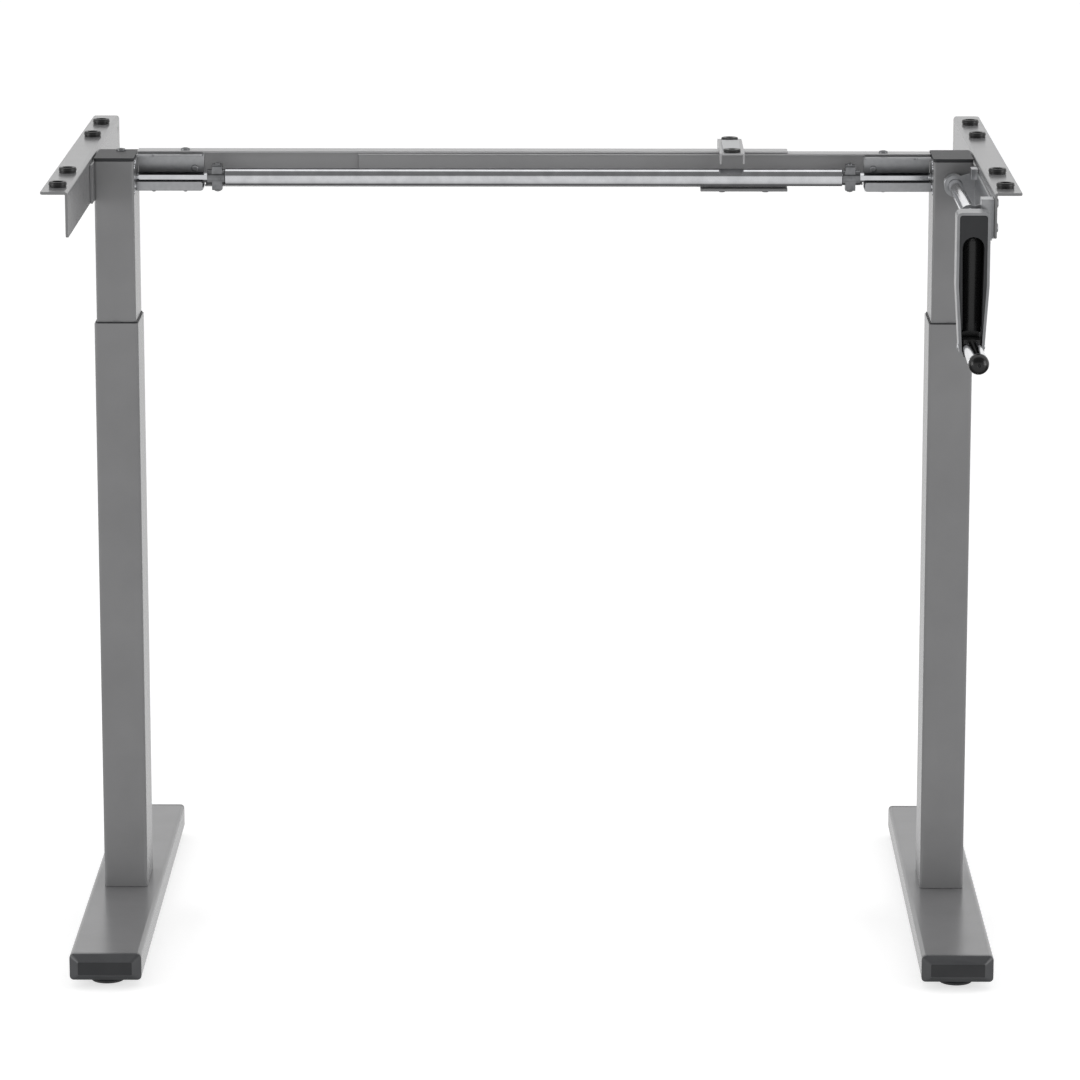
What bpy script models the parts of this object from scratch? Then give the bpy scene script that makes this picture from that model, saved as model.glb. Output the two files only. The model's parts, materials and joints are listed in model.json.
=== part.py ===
"""Hand-cranked, height adjustable desk frame with two telescopic columns.

Metres, +Z up. X runs across the desk and the crank side faces -Y. The floor is Z = 0. Every piece is
placed from the middle of the frame, in line with the columns, and the DESK empty then moves the whole
frame along Y so that the origin is at the bottom centre of its box.
"""

import math

import bmesh
import bpy
from mathutils import Matrix, Vector

# ---------------------------------------------------------------------------- clearances
GAP = 0.0003            # between two pieces that touch
RUN = 0.0003            # round a shaft in its bore
NEST = 0.0005           # between sheet-metal channels that slide in each other

# ---------------------------------------------------------------------------- columns
COLUMN_SPACING = 0.9486
LOWER_TUBE_X = 0.050
LOWER_TUBE_Y = 0.080
LOWER_TUBE_WALL = 0.0012
LOWER_TUBE_CORNER = 0.0035
LOWER_TUBE_LENGTH = 0.665
BUSH_WALL = 0.0007              # between the two tubes
UPPER_TUBE_WALL = 0.0015
UPPER_TUBE_CORNER = 0.0030
UPPER_TUBE_LENGTH = 0.698
UPPER_TUBE_SHOWS = 0.185        # above the lower tube, with the desk as it stands
BUSH_HEIGHT = 0.040
BUSH_LIP = 0.0015               # how far the bush stands above the lower tube
BUSH_TAB_WIDTH = 0.009
TOP_CAP_THICKNESS = 0.0035
TOP_CAP_RIM = 0.005
RIM_WALL = 0.0015
FACE_PLATE_THICKNESS = 0.0018   # welded to the outer side of the upper tube
FACE_PLATE_LENGTH = 0.130
FACE_PLATE_HEIGHT = 0.044

# ---------------------------------------------------------------------------- feet
FOOT_WIDTH = 0.080
FOOT_HEIGHT = 0.030
FOOT_WALL = 0.002
FOOT_CORNER = 0.0045
FOOT_FRONT_REACH = 0.317
FOOT_REAR_REACH = 0.333
FOOT_CAP_LENGTH = 0.012
FOOT_CAP_STRAIGHT = 0.004
FOOT_CAP_PLUG = 0.015
FOOT_CAP_FACE_X = 0.061
FOOT_CAP_FACE_Z = 0.0165
GLIDE_DIAMETER = 0.038
GLIDE_HEIGHT = 0.008
GLIDE_STEM = 0.008
GLIDE_STEM_LENGTH = 0.018
GLIDE_INSET = 0.038

# ---------------------------------------------------------------------------- lifting gear
SHAFT_BELOW_TUBE_TOP = 0.0225
PINION_TEETH = 12
SCREW_GEAR_TEETH = 18
SCREW_GEAR_RADIUS = 0.014       # pitch radius at the large end
TOOTH_FACE = 0.005
GEAR_BORE = 0.0045
SHAFT_COLLAR = 0.003
SCREW_COLLAR = 0.004
SCREW_DIAMETER = 0.016
SCREW_JOURNAL = 0.012
SCREW_LENGTH = 0.537
HOUSING_FLOOR = 0.004
HOUSING_SIDE_WALL = 0.0025
HOUSING_END_WALL = 0.004
POST_DIAMETER = 0.028
POST_BORE = 0.022
POST_HEIGHT = 0.622
POST_FLANGE = 0.044
POST_FLANGE_THICKNESS = 0.004
NUT_HEIGHT = 0.030
HEX_ROD_CORNERS = 0.0110
SHAFT_JOURNAL = 0.0110
HEX_ROD_RIGHT_LENGTH = 0.470
HEX_ROD_LEFT_LENGTH = 0.115
DRIVE_TUBE_DIAMETER = 0.020
DRIVE_TUBE_WALL = 0.0015
DRIVE_TUBE_HALF = 0.351
COUPLER_DIAMETER = 0.0175
COUPLER_LENGTH = 0.020
CLAMP_LENGTH = 0.0115
CLAMP_WIDTH = 0.015
CLAMP_HEIGHT = 0.029

# ---------------------------------------------------------------------------- top of the frame
SHEET = 0.002
CROSSBAR_BACK = 0.032
CROSSBAR_DEPTH = 0.025
CROSSBAR_LOWER_DEPTH = 0.013
CROSSBAR_HEIGHT = 0.0424
OUTER_BAR_RIGHT = 0.289
INNER_BAR_LEFT = -0.200
LEG_BRACKET_LENGTH = 0.0755
LEG_BRACKET_DEPTH = 0.0365
LEG_BRACKET_DROP = 0.001        # below the crossbar
LEG_BRACKET_NOTCH = 0.0045
LEG_BRACKET_NOTCH_PLACE = 0.018
SIDE_BRACKET_THICKNESS = 0.003
SIDE_BRACKET_WIDTH = 0.030
SIDE_BRACKET_HEIGHT = 0.050
SIDE_BRACKET_HALF = 0.315
SIDE_BRACKET_CORNER = 0.004
SIDE_BRACKET_BEND = 0.0035
PAD_PLACES = (-0.275, -0.165, 0.130, 0.240)
PAD_INSET = 0.0155
PAD_DIAMETER = 0.020
PAD_HEIGHT = 0.0055
PAD_RECESS = 0.0115
PAD_RECESS_DEPTH = 0.0035
PAD_HOLE = 0.006
BOLT_HOLE = 0.006
BOLT_SPACING = 0.027
BOLT_INSET = 0.020
LOCK_PLATE_LENGTH = 0.099
LOCK_PLATE_THICKNESS = 0.003
LOCK_PLATE_DEPTH = 0.026
SUPPORT_X = 0.225
SUPPORT_WIDTH = 0.028
SUPPORT_FRONT = -0.027
SUPPORT_BACK = 0.098
SUPPORT_LIP = 0.010

# ---------------------------------------------------------------------------- crank
CRANK_ROD_DIAMETER = 0.016
CRANK_ARM_BACK = -0.320
CRANK_ARM_DEPTH = 0.030
CRANK_ARM_TOP_WIDTH = 0.036
CRANK_ARM_FOOT_WIDTH = 0.027
CRANK_ARM_ABOVE_ROD = 0.0125
CRANK_RADIUS = 0.1341
ARM_RIM = 0.003
ARM_BACK_WALL = 0.004
COLLAR_DIAMETER = 0.022
COLLAR_LENGTH = 0.010
GRIP_REACH = -0.458
GRIP_DIAMETER = 0.0224
GRIP_NECK_DIAMETER = 0.0196
GRIP_CAP_LENGTH = 0.011
GRIP_SPINDLE = 0.010
KNUCKLE_WIDTH = 0.0180
KNUCKLE_RADIUS = 0.0095
KNUCKLE_LENGTH = 0.014
RECESS_SLACK = 0.0006
STAY_THICKNESS = 0.002
STAY_FRONT = -0.292
STAY_SPACE = 0.0015             # behind the stay, to the column's face plate
STAY_HEIGHT = 0.044
STAY_BOSS = 0.0125
ARC_STEPS = 4
SIDES = 16

# ---------------------------------------------------------------------------- heights and places
FOOT_TOP = GLIDE_HEIGHT + FOOT_HEIGHT
LOWER_TOP = FOOT_TOP + LOWER_TUBE_LENGTH
UPPER_TOP = LOWER_TOP + UPPER_TUBE_SHOWS
UPPER_BOTTOM = UPPER_TOP - UPPER_TUBE_LENGTH
SHAFT_Z = UPPER_TOP - SHAFT_BELOW_TUBE_TOP
FRAME_TOP = UPPER_TOP + 0.006
COLUMN_X = COLUMN_SPACING / 2
UPPER_TUBE_X = LOWER_TUBE_X - 2 * (LOWER_TUBE_WALL + BUSH_WALL + 2 * GAP)
UPPER_TUBE_Y = LOWER_TUBE_Y - 2 * (LOWER_TUBE_WALL + BUSH_WALL + 2 * GAP)
TUBE_HALF_X = UPPER_TUBE_X / 2
TUBE_HALF_Y = UPPER_TUBE_Y / 2
INSIDE_X = TUBE_HALF_X - UPPER_TUBE_WALL - GAP
INSIDE_Y = TUBE_HALF_Y - UPPER_TUBE_WALL - GAP
COLUMN_INNER_FACE = COLUMN_X - TUBE_HALF_X
BRACKET_FACE = COLUMN_X + TUBE_HALF_X + FACE_PLATE_THICKNESS + GAP
BRACKET_EDGE = BRACKET_FACE + SIDE_BRACKET_WIDTH
CROSSBAR_BOTTOM = FRAME_TOP - CROSSBAR_HEIGHT
CROSSBAR_FRONT = CROSSBAR_BACK - CROSSBAR_DEPTH
STAY_BACK = -FACE_PLATE_LENGTH / 2 - STAY_SPACE
KNUCKLE_Z = SHAFT_Z - CRANK_RADIUS
KNUCKLE_Y = CRANK_ARM_BACK - CRANK_ARM_DEPTH + GRIP_DIAMETER / 2 + RECESS_SLACK
COLUMN_Y = (-GRIP_REACH - FOOT_REAR_REACH) / 2

# Bevel gears share an apex on the shaft line. A radius is the height under the apex times a tangent.
PITCH_ANGLE = math.atan(SCREW_GEAR_TEETH / PINION_TEETH)
CONE_LENGTH = SCREW_GEAR_RADIUS / math.sin(PITCH_ANGLE)
GEAR_MODULE = 2 * SCREW_GEAR_RADIUS / SCREW_GEAR_TEETH
TIP_ANGLE = 0.65 * GEAR_MODULE / CONE_LENGTH
ROOT_ANGLE = 1.05 * GEAR_MODULE / CONE_LENGTH
SCREW_GEAR_DEPTH = CONE_LENGTH * math.cos(PITCH_ANGLE)
PINION_DEPTH = CONE_LENGTH * math.sin(PITCH_ANGLE)
SMALL_END = 1 - TOOTH_FACE / CONE_LENGTH
SCREW_COLLAR_TOP = SHAFT_Z - SCREW_GEAR_DEPTH - GAP
HOUSING_FLOOR_TOP = SCREW_COLLAR_TOP - SCREW_COLLAR - GAP
HOUSING_BOTTOM = HOUSING_FLOOR_TOP - HOUSING_FLOOR

AXES = {"X": Vector((1, 0, 0)), "Y": Vector((0, 1, 0)), "Z": Vector((0, 0, 1))}
FROM_FLAT = {
    "X": Matrix(((0, 0, 1, 0), (1, 0, 0, 0), (0, 1, 0, 0), (0, 0, 0, 1))),
    "Y": Matrix(((1, 0, 0, 0), (0, 0, 1, 0), (0, 1, 0, 0), (0, 0, 0, 1))),
    "Z": Matrix.Identity(4),
}
TURNED_TO = {"X": (0, math.pi / 2, 0), "Y": (-math.pi / 2, 0, 0), "Z": (0, 0, 0)}

# ---------------------------------------------------------------------------- scene and materials
for old in list(bpy.data.objects):
    bpy.data.objects.remove(old)

PARTS = bpy.data.collections.new("height_adjustable_desk_frame")
CUTTERS = bpy.data.collections.new("cutters")
bpy.context.scene.collection.children.link(PARTS)
bpy.context.scene.collection.children.link(CUTTERS)

PAINTS = {
    "grey_powder_coat": ((0.150, 0.150, 0.152), 0.42, 0.0),
    "chrome": ((0.80, 0.80, 0.82), 0.12, 1.0),
    "zinc": ((0.52, 0.53, 0.54), 0.35, 1.0),
    "machined_steel": ((0.42, 0.42, 0.43), 0.30, 1.0),
    "brass": ((0.70, 0.50, 0.22), 0.32, 1.0),
    "charcoal_plastic": ((0.035, 0.036, 0.038), 0.50, 0.0),
    "black_plastic": ((0.010, 0.010, 0.010), 0.35, 0.0),
    "silver_grey_enamel": ((0.36, 0.36, 0.37), 0.38, 0.3),
    "black_rubber": ((0.012, 0.012, 0.012), 0.70, 0.0),
}


def make_paint(name, colour, roughness, metallic):
    paint = bpy.data.materials.new(name)
    paint.use_nodes = True
    shader = paint.node_tree.nodes["Principled BSDF"]
    shader.inputs["Base Color"].default_value = (*colour, 1.0)
    shader.inputs["Roughness"].default_value = roughness
    shader.inputs["Metallic"].default_value = metallic
    return paint


PAINT = {name: make_paint(name, *look) for name, look in PAINTS.items()}


def add_empty(name, place, holder=None):
    empty = bpy.data.objects.new(name, None)
    empty.empty_display_size = 0.02
    PARTS.objects.link(empty)
    empty.location = place
    empty.parent = holder
    return empty


DESK = add_empty("desk", (0, COLUMN_Y, 0))
CRANK_AXIS = add_empty("crank_axis", (COLUMN_X, 0, SHAFT_Z), DESK)
GRIP_HINGE = add_empty("grip_hinge", (COLUMN_X, KNUCKLE_Y, KNUCKLE_Z), DESK)


def add_piece(name, mesh, paint, holder=None):
    """A mesh made in the frame's own coordinates, as a named piece under DESK or under a joint's empty."""
    mesh.name = name
    mesh.materials.append(PAINT[paint])
    piece = bpy.data.objects.new(name, mesh)
    PARTS.objects.link(piece)
    piece.parent = holder or DESK
    if holder:
        piece.location = -holder.location
    return piece


# ---------------------------------------------------------------------------- shapes
def mesh_from(bm):
    bmesh.ops.recalc_face_normals(bm, faces=bm.faces)
    mesh = bpy.data.meshes.new("shape")
    bm.to_mesh(mesh)
    bm.free()
    return mesh


def arc(centre_u, centre_v, radius, start, end, steps=ARC_STEPS):
    """Points along an arc, angles in degrees."""
    angles = [math.radians(start + (end - start) * step / steps) for step in range(steps + 1)]
    return [(centre_u + radius * math.cos(a), centre_v + radius * math.sin(a)) for a in angles]


def circle(centre_u, centre_v, radius, steps=SIDES):
    return arc(centre_u, centre_v, radius, 0, 360, steps)[:-1]


def rounded_rectangle(half_u, half_v, corner, middle_u=0.0, middle_v=0.0, steps=ARC_STEPS):
    points = []
    for quarter, (side_u, side_v) in enumerate(((1, 1), (-1, 1), (-1, -1), (1, -1))):
        corner_u = middle_u + side_u * (half_u - corner)
        corner_v = middle_v + side_v * (half_v - corner)
        points += arc(corner_u, corner_v, corner, quarter * 90, quarter * 90 + 90, steps)
    return points


def extrusion(loops, low, high, axis):
    """Flat loops, filled and drawn out from low to high along an axis. A loop in a loop is a hole.

    Loop points are (Y, Z) along X, (X, Z) along Y and (X, Y) along Z.
    """
    curve = bpy.data.curves.new("outline", "CURVE")
    curve.dimensions = "2D"
    curve.fill_mode = "BOTH"
    curve.extrude = (high - low) / 2
    for loop in loops:
        spline = curve.splines.new("POLY")
        spline.points.add(len(loop) - 1)
        for point, (u, v) in zip(spline.points, loop):
            point.co = (u, v, 0, 1)
        spline.use_cyclic_u = True
    guide = bpy.data.objects.new("outline", curve)
    bpy.context.scene.collection.objects.link(guide)
    graph = bpy.context.evaluated_depsgraph_get()
    filled = bpy.data.meshes.new_from_object(guide.evaluated_get(graph))
    bpy.data.objects.remove(guide)
    bpy.data.curves.remove(curve)
    bm = bmesh.new()
    bm.from_mesh(filled)
    bpy.data.meshes.remove(filled)
    bmesh.ops.remove_doubles(bm, verts=bm.verts, dist=1e-6)
    bmesh.ops.translate(bm, verts=bm.verts, vec=(0, 0, (low + high) / 2))
    bmesh.ops.transform(bm, matrix=FROM_FLAT[axis], verts=bm.verts)
    return mesh_from(bm)


def box(low, high):
    bm = bmesh.new()
    bmesh.ops.create_cube(bm, size=1)
    size = [top - bottom for bottom, top in zip(low, high)]
    middle = [(top + bottom) / 2 for bottom, top in zip(low, high)]
    bmesh.ops.scale(bm, verts=bm.verts, vec=size)
    bmesh.ops.translate(bm, verts=bm.verts, vec=middle)
    return mesh_from(bm)


def rod(radius, low, high, axis, centre, sides=SIDES):
    """A cylinder from low to high along an axis, through a centre point."""
    bm = bmesh.new()
    bmesh.ops.create_cone(
        bm, cap_ends=True, segments=sides, radius1=radius, radius2=radius, depth=high - low
    )
    bmesh.ops.translate(bm, verts=bm.verts, vec=(0, 0, (low + high) / 2))
    turn = Vector((0, 0, 1)).rotation_difference(AXES[axis]).to_matrix().to_4x4()
    bmesh.ops.transform(bm, matrix=turn, verts=bm.verts)
    across = Vector(centre) - AXES[axis] * Vector(centre).dot(AXES[axis])
    bmesh.ops.translate(bm, verts=bm.verts, vec=across)
    return mesh_from(bm)


def grow_end(mesh, direction, distance, scale=(1, 1, 1)):
    """Draw the end face that looks along a direction out by a distance, scaled about its middle."""
    way = Vector(direction)
    bm = bmesh.new()
    bm.from_mesh(mesh)
    bmesh.ops.dissolve_limit(bm, angle_limit=0.02, verts=bm.verts, edges=bm.edges)
    end = max(bm.faces, key=lambda face: min(vert.co.dot(way) for vert in face.verts))
    grown = bmesh.ops.extrude_discrete_faces(bm, faces=[end])["faces"][0]
    verts = list(grown.verts)
    low = [min(v.co[i] for v in verts) for i in range(3)]
    high = [max(v.co[i] for v in verts) for i in range(3)]
    middle = Vector([(a + b) / 2 for a, b in zip(low, high)])
    space = Matrix.Translation(-middle)
    bmesh.ops.scale(bm, verts=verts, vec=scale, space=space)
    bmesh.ops.translate(bm, verts=verts, vec=way * distance)
    bmesh.ops.recalc_face_normals(bm, faces=bm.faces)
    bm.to_mesh(mesh)
    bm.free()
    return mesh


def round_edges(mesh, along, is_wanted, radius, segments=3):
    """Round the edges that run along an axis and whose middles pass a test."""
    bm = bmesh.new()
    bm.from_mesh(mesh)
    bmesh.ops.dissolve_limit(bm, angle_limit=0.02, verts=bm.verts, edges=bm.edges)
    edges = []
    for edge in bm.edges:
        run = edge.verts[1].co - edge.verts[0].co
        middle = (edge.verts[0].co + edge.verts[1].co) / 2
        straight = abs(run.dot(AXES[along])) > 0.999 * run.length
        if straight and edge.calc_face_angle(0) > 0.5 and is_wanted(middle):
            edges.append(edge)
    bmesh.ops.bevel(
        bm, geom=edges, offset=radius, segments=segments, profile=0.5, affect="EDGES", material=-1
    )
    bmesh.ops.triangulate(bm, faces=bm.faces)
    bm.to_mesh(mesh)
    bm.free()
    return mesh


def turned(name, profile, centre, axis, paint, sides=SIDES, bored=False, holder=None):
    """A round piece. The profile is (radius, height) pairs that run down the outer side."""
    mesh = bpy.data.meshes.new(name)
    edges = [(i, i + 1) for i in range(len(profile) - 1)]
    if bored:
        edges.append((len(profile) - 1, 0))
    mesh.from_pydata([(radius, 0, height) for radius, height in profile], edges, [])
    mesh.materials.append(PAINT[paint])
    piece = bpy.data.objects.new(name, mesh)
    PARTS.objects.link(piece)
    piece.parent = holder or DESK
    piece.location = Vector(centre) - (holder.location if holder else Vector())
    piece.rotation_euler = TURNED_TO[axis]
    screw = piece.modifiers.new("turn", "SCREW")
    screw.steps = sides
    screw.render_steps = sides
    screw.use_merge_vertices = True
    screw.merge_threshold = 0.00001
    return piece


def boolean(piece, mesh, operation):
    """Cut a mesh from a piece, or join it on. The mesh is in the frame's own coordinates."""
    tool = bpy.data.objects.new(f"{piece.name}_{operation.lower()}_{len(piece.modifiers)}", mesh)
    CUTTERS.objects.link(tool)
    tool.parent = DESK
    tool.hide_render = True
    tool.display_type = "WIRE"
    modifier = piece.modifiers.new(operation.lower(), "BOOLEAN")
    modifier.operation = operation
    modifier.solver = "EXACT"
    modifier.object = tool


def cut(piece, mesh):
    boolean(piece, mesh, "DIFFERENCE")


def join(piece, mesh):
    boolean(piece, mesh, "UNION")


def rectangular_tube(half_u, half_v, corner, wall, low, high, axis, middle=(0.0, 0.0)):
    outside = rounded_rectangle(half_u, half_v, corner, *middle)
    inside = rounded_rectangle(half_u - wall, half_v - wall, max(corner - wall, wall / 2), *middle)
    return extrusion([outside, inside], low, high, axis)


# ---------------------------------------------------------------------------- feet
def add_foot(side, x):
    """An open-ended rectangular tube with a plug at each end and two screw-in glides."""
    front = -FOOT_FRONT_REACH + FOOT_CAP_LENGTH + GAP
    rear = FOOT_REAR_REACH - FOOT_CAP_LENGTH - GAP
    middle = (x, GLIDE_HEIGHT + FOOT_HEIGHT / 2)
    half_x, half_z = FOOT_WIDTH / 2, FOOT_HEIGHT / 2
    tube = rectangular_tube(half_x, half_z, FOOT_CORNER, FOOT_WALL, front, rear, "Y", middle)
    foot = add_piece(f"foot_{side}", tube, "grey_powder_coat")
    glides = {
        "front": -FOOT_FRONT_REACH + GLIDE_INSET,
        "rear": FOOT_REAR_REACH - GLIDE_INSET,
    }
    for end, y in glides.items():
        bore = rod(GLIDE_STEM / 2 + RUN, GLIDE_HEIGHT - GAP, FOOT_TOP - FOOT_WALL - GAP, "Z", (x, y, 0))
        cut(foot, bore)
        add_glide(f"glide_{end}_{side}", x, y)
    add_foot_cap(f"foot_cap_front_{side}", x, -FOOT_FRONT_REACH, -1)
    add_foot_cap(f"foot_cap_rear_{side}", x, FOOT_REAR_REACH, 1)


def add_glide(name, x, y):
    stem, disc = GLIDE_STEM / 2, GLIDE_DIAMETER / 2
    top = GLIDE_HEIGHT - GAP
    tip = top + GLIDE_STEM_LENGTH
    profile = [(0, tip), (stem, tip), (stem, top), (disc - 0.003, top), (disc, 0.003), (disc, 0), (0, 0)]
    turned(name, profile, (x, y, 0), "Z", "charcoal_plastic", 20)


def add_foot_cap(name, x, end_y, way):
    """A plug in the foot's end: a straight rim, a sloping frame to a flat face, and a spigot behind."""
    rim_back = end_y - way * FOOT_CAP_LENGTH
    rim_front = rim_back + way * FOOT_CAP_STRAIGHT
    outline = rounded_rectangle(
        FOOT_WIDTH / 2, FOOT_HEIGHT / 2, FOOT_CORNER, x, GLIDE_HEIGHT + FOOT_HEIGHT / 2
    )
    mesh = extrusion([outline], min(rim_back, rim_front), max(rim_back, rim_front), "Y")
    slope = FOOT_CAP_LENGTH - FOOT_CAP_STRAIGHT
    face = (FOOT_CAP_FACE_X / FOOT_WIDTH, 1, FOOT_CAP_FACE_Z / FOOT_HEIGHT)
    grow_end(mesh, (0, way, 0), slope, face)
    fit = 2 * (FOOT_WALL + GAP)
    spigot = ((FOOT_WIDTH - fit) / FOOT_WIDTH, 1, (FOOT_HEIGHT - fit) / FOOT_HEIGHT)
    grow_end(mesh, (0, -way, 0), GAP, spigot)
    grow_end(mesh, (0, -way, 0), FOOT_CAP_PLUG)
    add_piece(name, mesh, "charcoal_plastic")


# ---------------------------------------------------------------------------- columns
def add_lower_column(side, x):
    tube = rectangular_tube(
        LOWER_TUBE_X / 2, LOWER_TUBE_Y / 2, LOWER_TUBE_CORNER, LOWER_TUBE_WALL,
        FOOT_TOP + GAP, LOWER_TOP, "Z", (x, 0),
    )
    add_piece(f"lower_tube_{side}", tube, "grey_powder_coat")

    post_top = POST_HEIGHT
    flange, post, bore = POST_FLANGE / 2, POST_DIAMETER / 2, POST_BORE / 2
    profile = [
        (post, post_top), (post, POST_FLANGE_THICKNESS), (flange, POST_FLANGE_THICKNESS),
        (flange, 0), (bore, 0), (bore, post_top),
    ]
    place = (x, 0, FOOT_TOP + GAP)
    turned(f"nut_post_{side}", profile, place, "Z", "machined_steel", SIDES, bored=True)

    thread = SCREW_DIAMETER / 2 + RUN
    profile = [(post, NUT_HEIGHT), (post, 0), (thread, 0), (thread, NUT_HEIGHT)]
    place = (x, 0, FOOT_TOP + GAP + post_top + GAP)
    turned(f"lead_nut_{side}", profile, place, "Z", "brass", SIDES, bored=True)
    add_guide_bush(side, x)


def add_guide_bush(side, x):
    """A thin plastic sleeve between the two tubes, with a tab that hooks over the front wall."""
    outer_x = LOWER_TUBE_X / 2 - LOWER_TUBE_WALL - GAP
    outer_y = LOWER_TUBE_Y / 2 - LOWER_TUBE_WALL - GAP
    inner_x = TUBE_HALF_X + GAP
    inner_y = TUBE_HALF_Y + GAP
    outside = rounded_rectangle(outer_x, outer_y, LOWER_TUBE_CORNER - LOWER_TUBE_WALL + GAP, x, 0)
    inside = rounded_rectangle(inner_x, inner_y, UPPER_TUBE_CORNER, x, 0)
    top = LOWER_TOP + BUSH_LIP
    mesh = extrusion([outside, inside], top - BUSH_HEIGHT, top, "Z")
    bush = add_piece(f"guide_bush_{side}", mesh, "charcoal_plastic")
    half = BUSH_TAB_WIDTH / 2
    tab_back = -(outer_y + inner_y) / 2
    join(bush, box((x - half, -LOWER_TUBE_Y / 2, LOWER_TOP + GAP), (x + half, tab_back, top)))


def add_upper_column(side, x, inward, has_crank):
    """The inner tube with its welded face plate, shaft holes, gear housing and cap."""
    mesh = rectangular_tube(
        TUBE_HALF_X, TUBE_HALF_Y, UPPER_TUBE_CORNER, UPPER_TUBE_WALL,
        UPPER_BOTTOM, UPPER_TOP, "Z", (x, 0),
    )
    tube = add_piece(f"upper_tube_{side}", mesh, "grey_powder_coat")
    weld = x - inward * (TUBE_HALF_X - UPPER_TUBE_WALL / 2)
    face = x - inward * (TUBE_HALF_X + FACE_PLATE_THICKNESS)
    plate_low, half = UPPER_TOP - FACE_PLATE_HEIGHT, FACE_PLATE_LENGTH / 2
    join(tube, box((min(weld, face), -half, plate_low), (max(weld, face), half, UPPER_TOP - GAP)))
    across = sorted((x + inward * SCREW_GEAR_RADIUS, x + inward * (TUBE_HALF_X + UPPER_TUBE_WALL)))
    shaft_hole = SHAFT_JOURNAL / 2 + 0.003
    cut(tube, rod(shaft_hole, *across, "X", (0, 0, SHAFT_Z)))
    front_reach = TUBE_HALF_Y + UPPER_TUBE_WALL
    if has_crank:
        cut(tube, rod(shaft_hole, -front_reach, -INSIDE_Y + HOUSING_END_WALL, "Y", (x, 0, SHAFT_Z)))

    low, high = HOUSING_BOTTOM, UPPER_TOP - TOP_CAP_RIM - HOUSING_FLOOR
    corner = UPPER_TUBE_CORNER - UPPER_TUBE_WALL
    block = extrusion([rounded_rectangle(INSIDE_X, INSIDE_Y, corner, x, 0, 2)], low, high, "Z")
    housing = add_piece(f"gearbox_housing_{side}", block, "zinc")
    room_x, room_y = INSIDE_X - HOUSING_SIDE_WALL, INSIDE_Y - HOUSING_END_WALL
    room_low, room_high = HOUSING_FLOOR_TOP, high + HOUSING_FLOOR
    cut(housing, box((x - room_x, -room_y, room_low), (x + room_x, room_y, room_high)))
    journal = SCREW_JOURNAL / 2 + RUN
    cut(housing, rod(journal, low - GAP, HOUSING_FLOOR_TOP + GAP, "Z", (x, 0, 0)))
    cut(housing, rod(SHAFT_JOURNAL / 2 + RUN, *across, "X", (0, 0, SHAFT_Z)))
    if has_crank:
        bore = rod(CRANK_ROD_DIAMETER / 2 + RUN, -front_reach, GAP - room_y, "Y", (x, 0, SHAFT_Z))
        cut(housing, bore)

    rim_x, rim_y = INSIDE_X, INSIDE_Y
    rim_low = UPPER_TOP + GAP - TOP_CAP_RIM
    rim_top = UPPER_TOP + GAP + TOP_CAP_THICKNESS / 2
    outline = rounded_rectangle(TUBE_HALF_X, TUBE_HALF_Y, UPPER_TUBE_CORNER, x, 0)
    mesh = extrusion([outline], UPPER_TOP + GAP, UPPER_TOP + GAP + TOP_CAP_THICKNESS, "Z")
    cap = add_piece(f"top_cap_{side}", mesh, "charcoal_plastic")
    corner = UPPER_TUBE_CORNER
    join(cap, rectangular_tube(rim_x, rim_y, corner, RIM_WALL, rim_low, rim_top, "Z", (x, 0)))


# ---------------------------------------------------------------------------- gears and shafts
def gear_outline(teeth, height, pitch_angle, first_tooth):
    """A bevel gear's outline at a height under the apex, with one tooth at first_tooth."""
    tip = height * math.tan(pitch_angle + TIP_ANGLE)
    root = height * math.tan(pitch_angle - ROOT_ANGLE)
    pitch = 2 * math.pi / teeth
    points = []
    for tooth in range(teeth):
        for share, radius in ((-0.26, root), (-0.10, tip), (0.10, tip), (0.26, root)):
            angle = first_tooth + (tooth + share) * pitch
            points.append((radius * math.cos(angle), radius * math.sin(angle)))
    return points


def add_gear(name, teeth, height, pitch_angle, away, first_tooth, apex, holder=None):
    """A bevel gear whose axis leaves the apex along away, tapering to the apex."""
    outline = gear_outline(teeth, height, pitch_angle, first_tooth)
    depth = height * (1 - SMALL_END)
    mesh = extrusion([outline], 0, depth, "Z")
    for vert in mesh.vertices:
        if vert.co.z > depth / 2:
            vert.co.xy *= SMALL_END
    bore = rod(GEAR_BORE, -GAP, depth + GAP, "Z", (0, 0, 0), 12)
    back = Vector((0, 0, 1)).rotation_difference(-Vector(away)).to_matrix().to_4x4()
    place = Matrix.Translation(Vector(apex) + Vector(away) * height) @ back
    for shape in (mesh, bore):
        shape.transform(place)
    cut(add_piece(name, mesh, "machined_steel", holder), bore)


def add_lead_screw(side, x):
    """The screw hangs in the housing's floor by its collar, with its bevel gear on top."""
    top = SHAFT_Z - SCREW_GEAR_DEPTH * SMALL_END
    neck, journal, thread = GEAR_BORE - RUN, SCREW_JOURNAL / 2, SCREW_DIAMETER / 2
    collar = journal + SCREW_COLLAR
    collar_low = SCREW_COLLAR_TOP - SCREW_COLLAR
    thread_top = HOUSING_BOTTOM - GAP
    tip = thread_top - SCREW_LENGTH
    heights = [
        (0, top), (neck, top), (neck, SCREW_COLLAR_TOP), (collar, SCREW_COLLAR_TOP),
        (collar, collar_low), (journal, collar_low), (journal, thread_top),
        (thread, thread_top), (thread, tip + 0.003), (thread - 0.003, tip), (0, tip),
    ]
    profile = [(radius, height - SHAFT_Z) for radius, height in heights]
    turned(f"lead_screw_{side}", profile, (x, 0, SHAFT_Z), "Z", "machined_steel")
    apex = (x, 0, SHAFT_Z)
    add_gear(
        f"screw_gear_{side}", SCREW_GEAR_TEETH, SCREW_GEAR_DEPTH, PITCH_ANGLE,
        (0, 0, -1), math.pi / 2, apex,
    )


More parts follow.
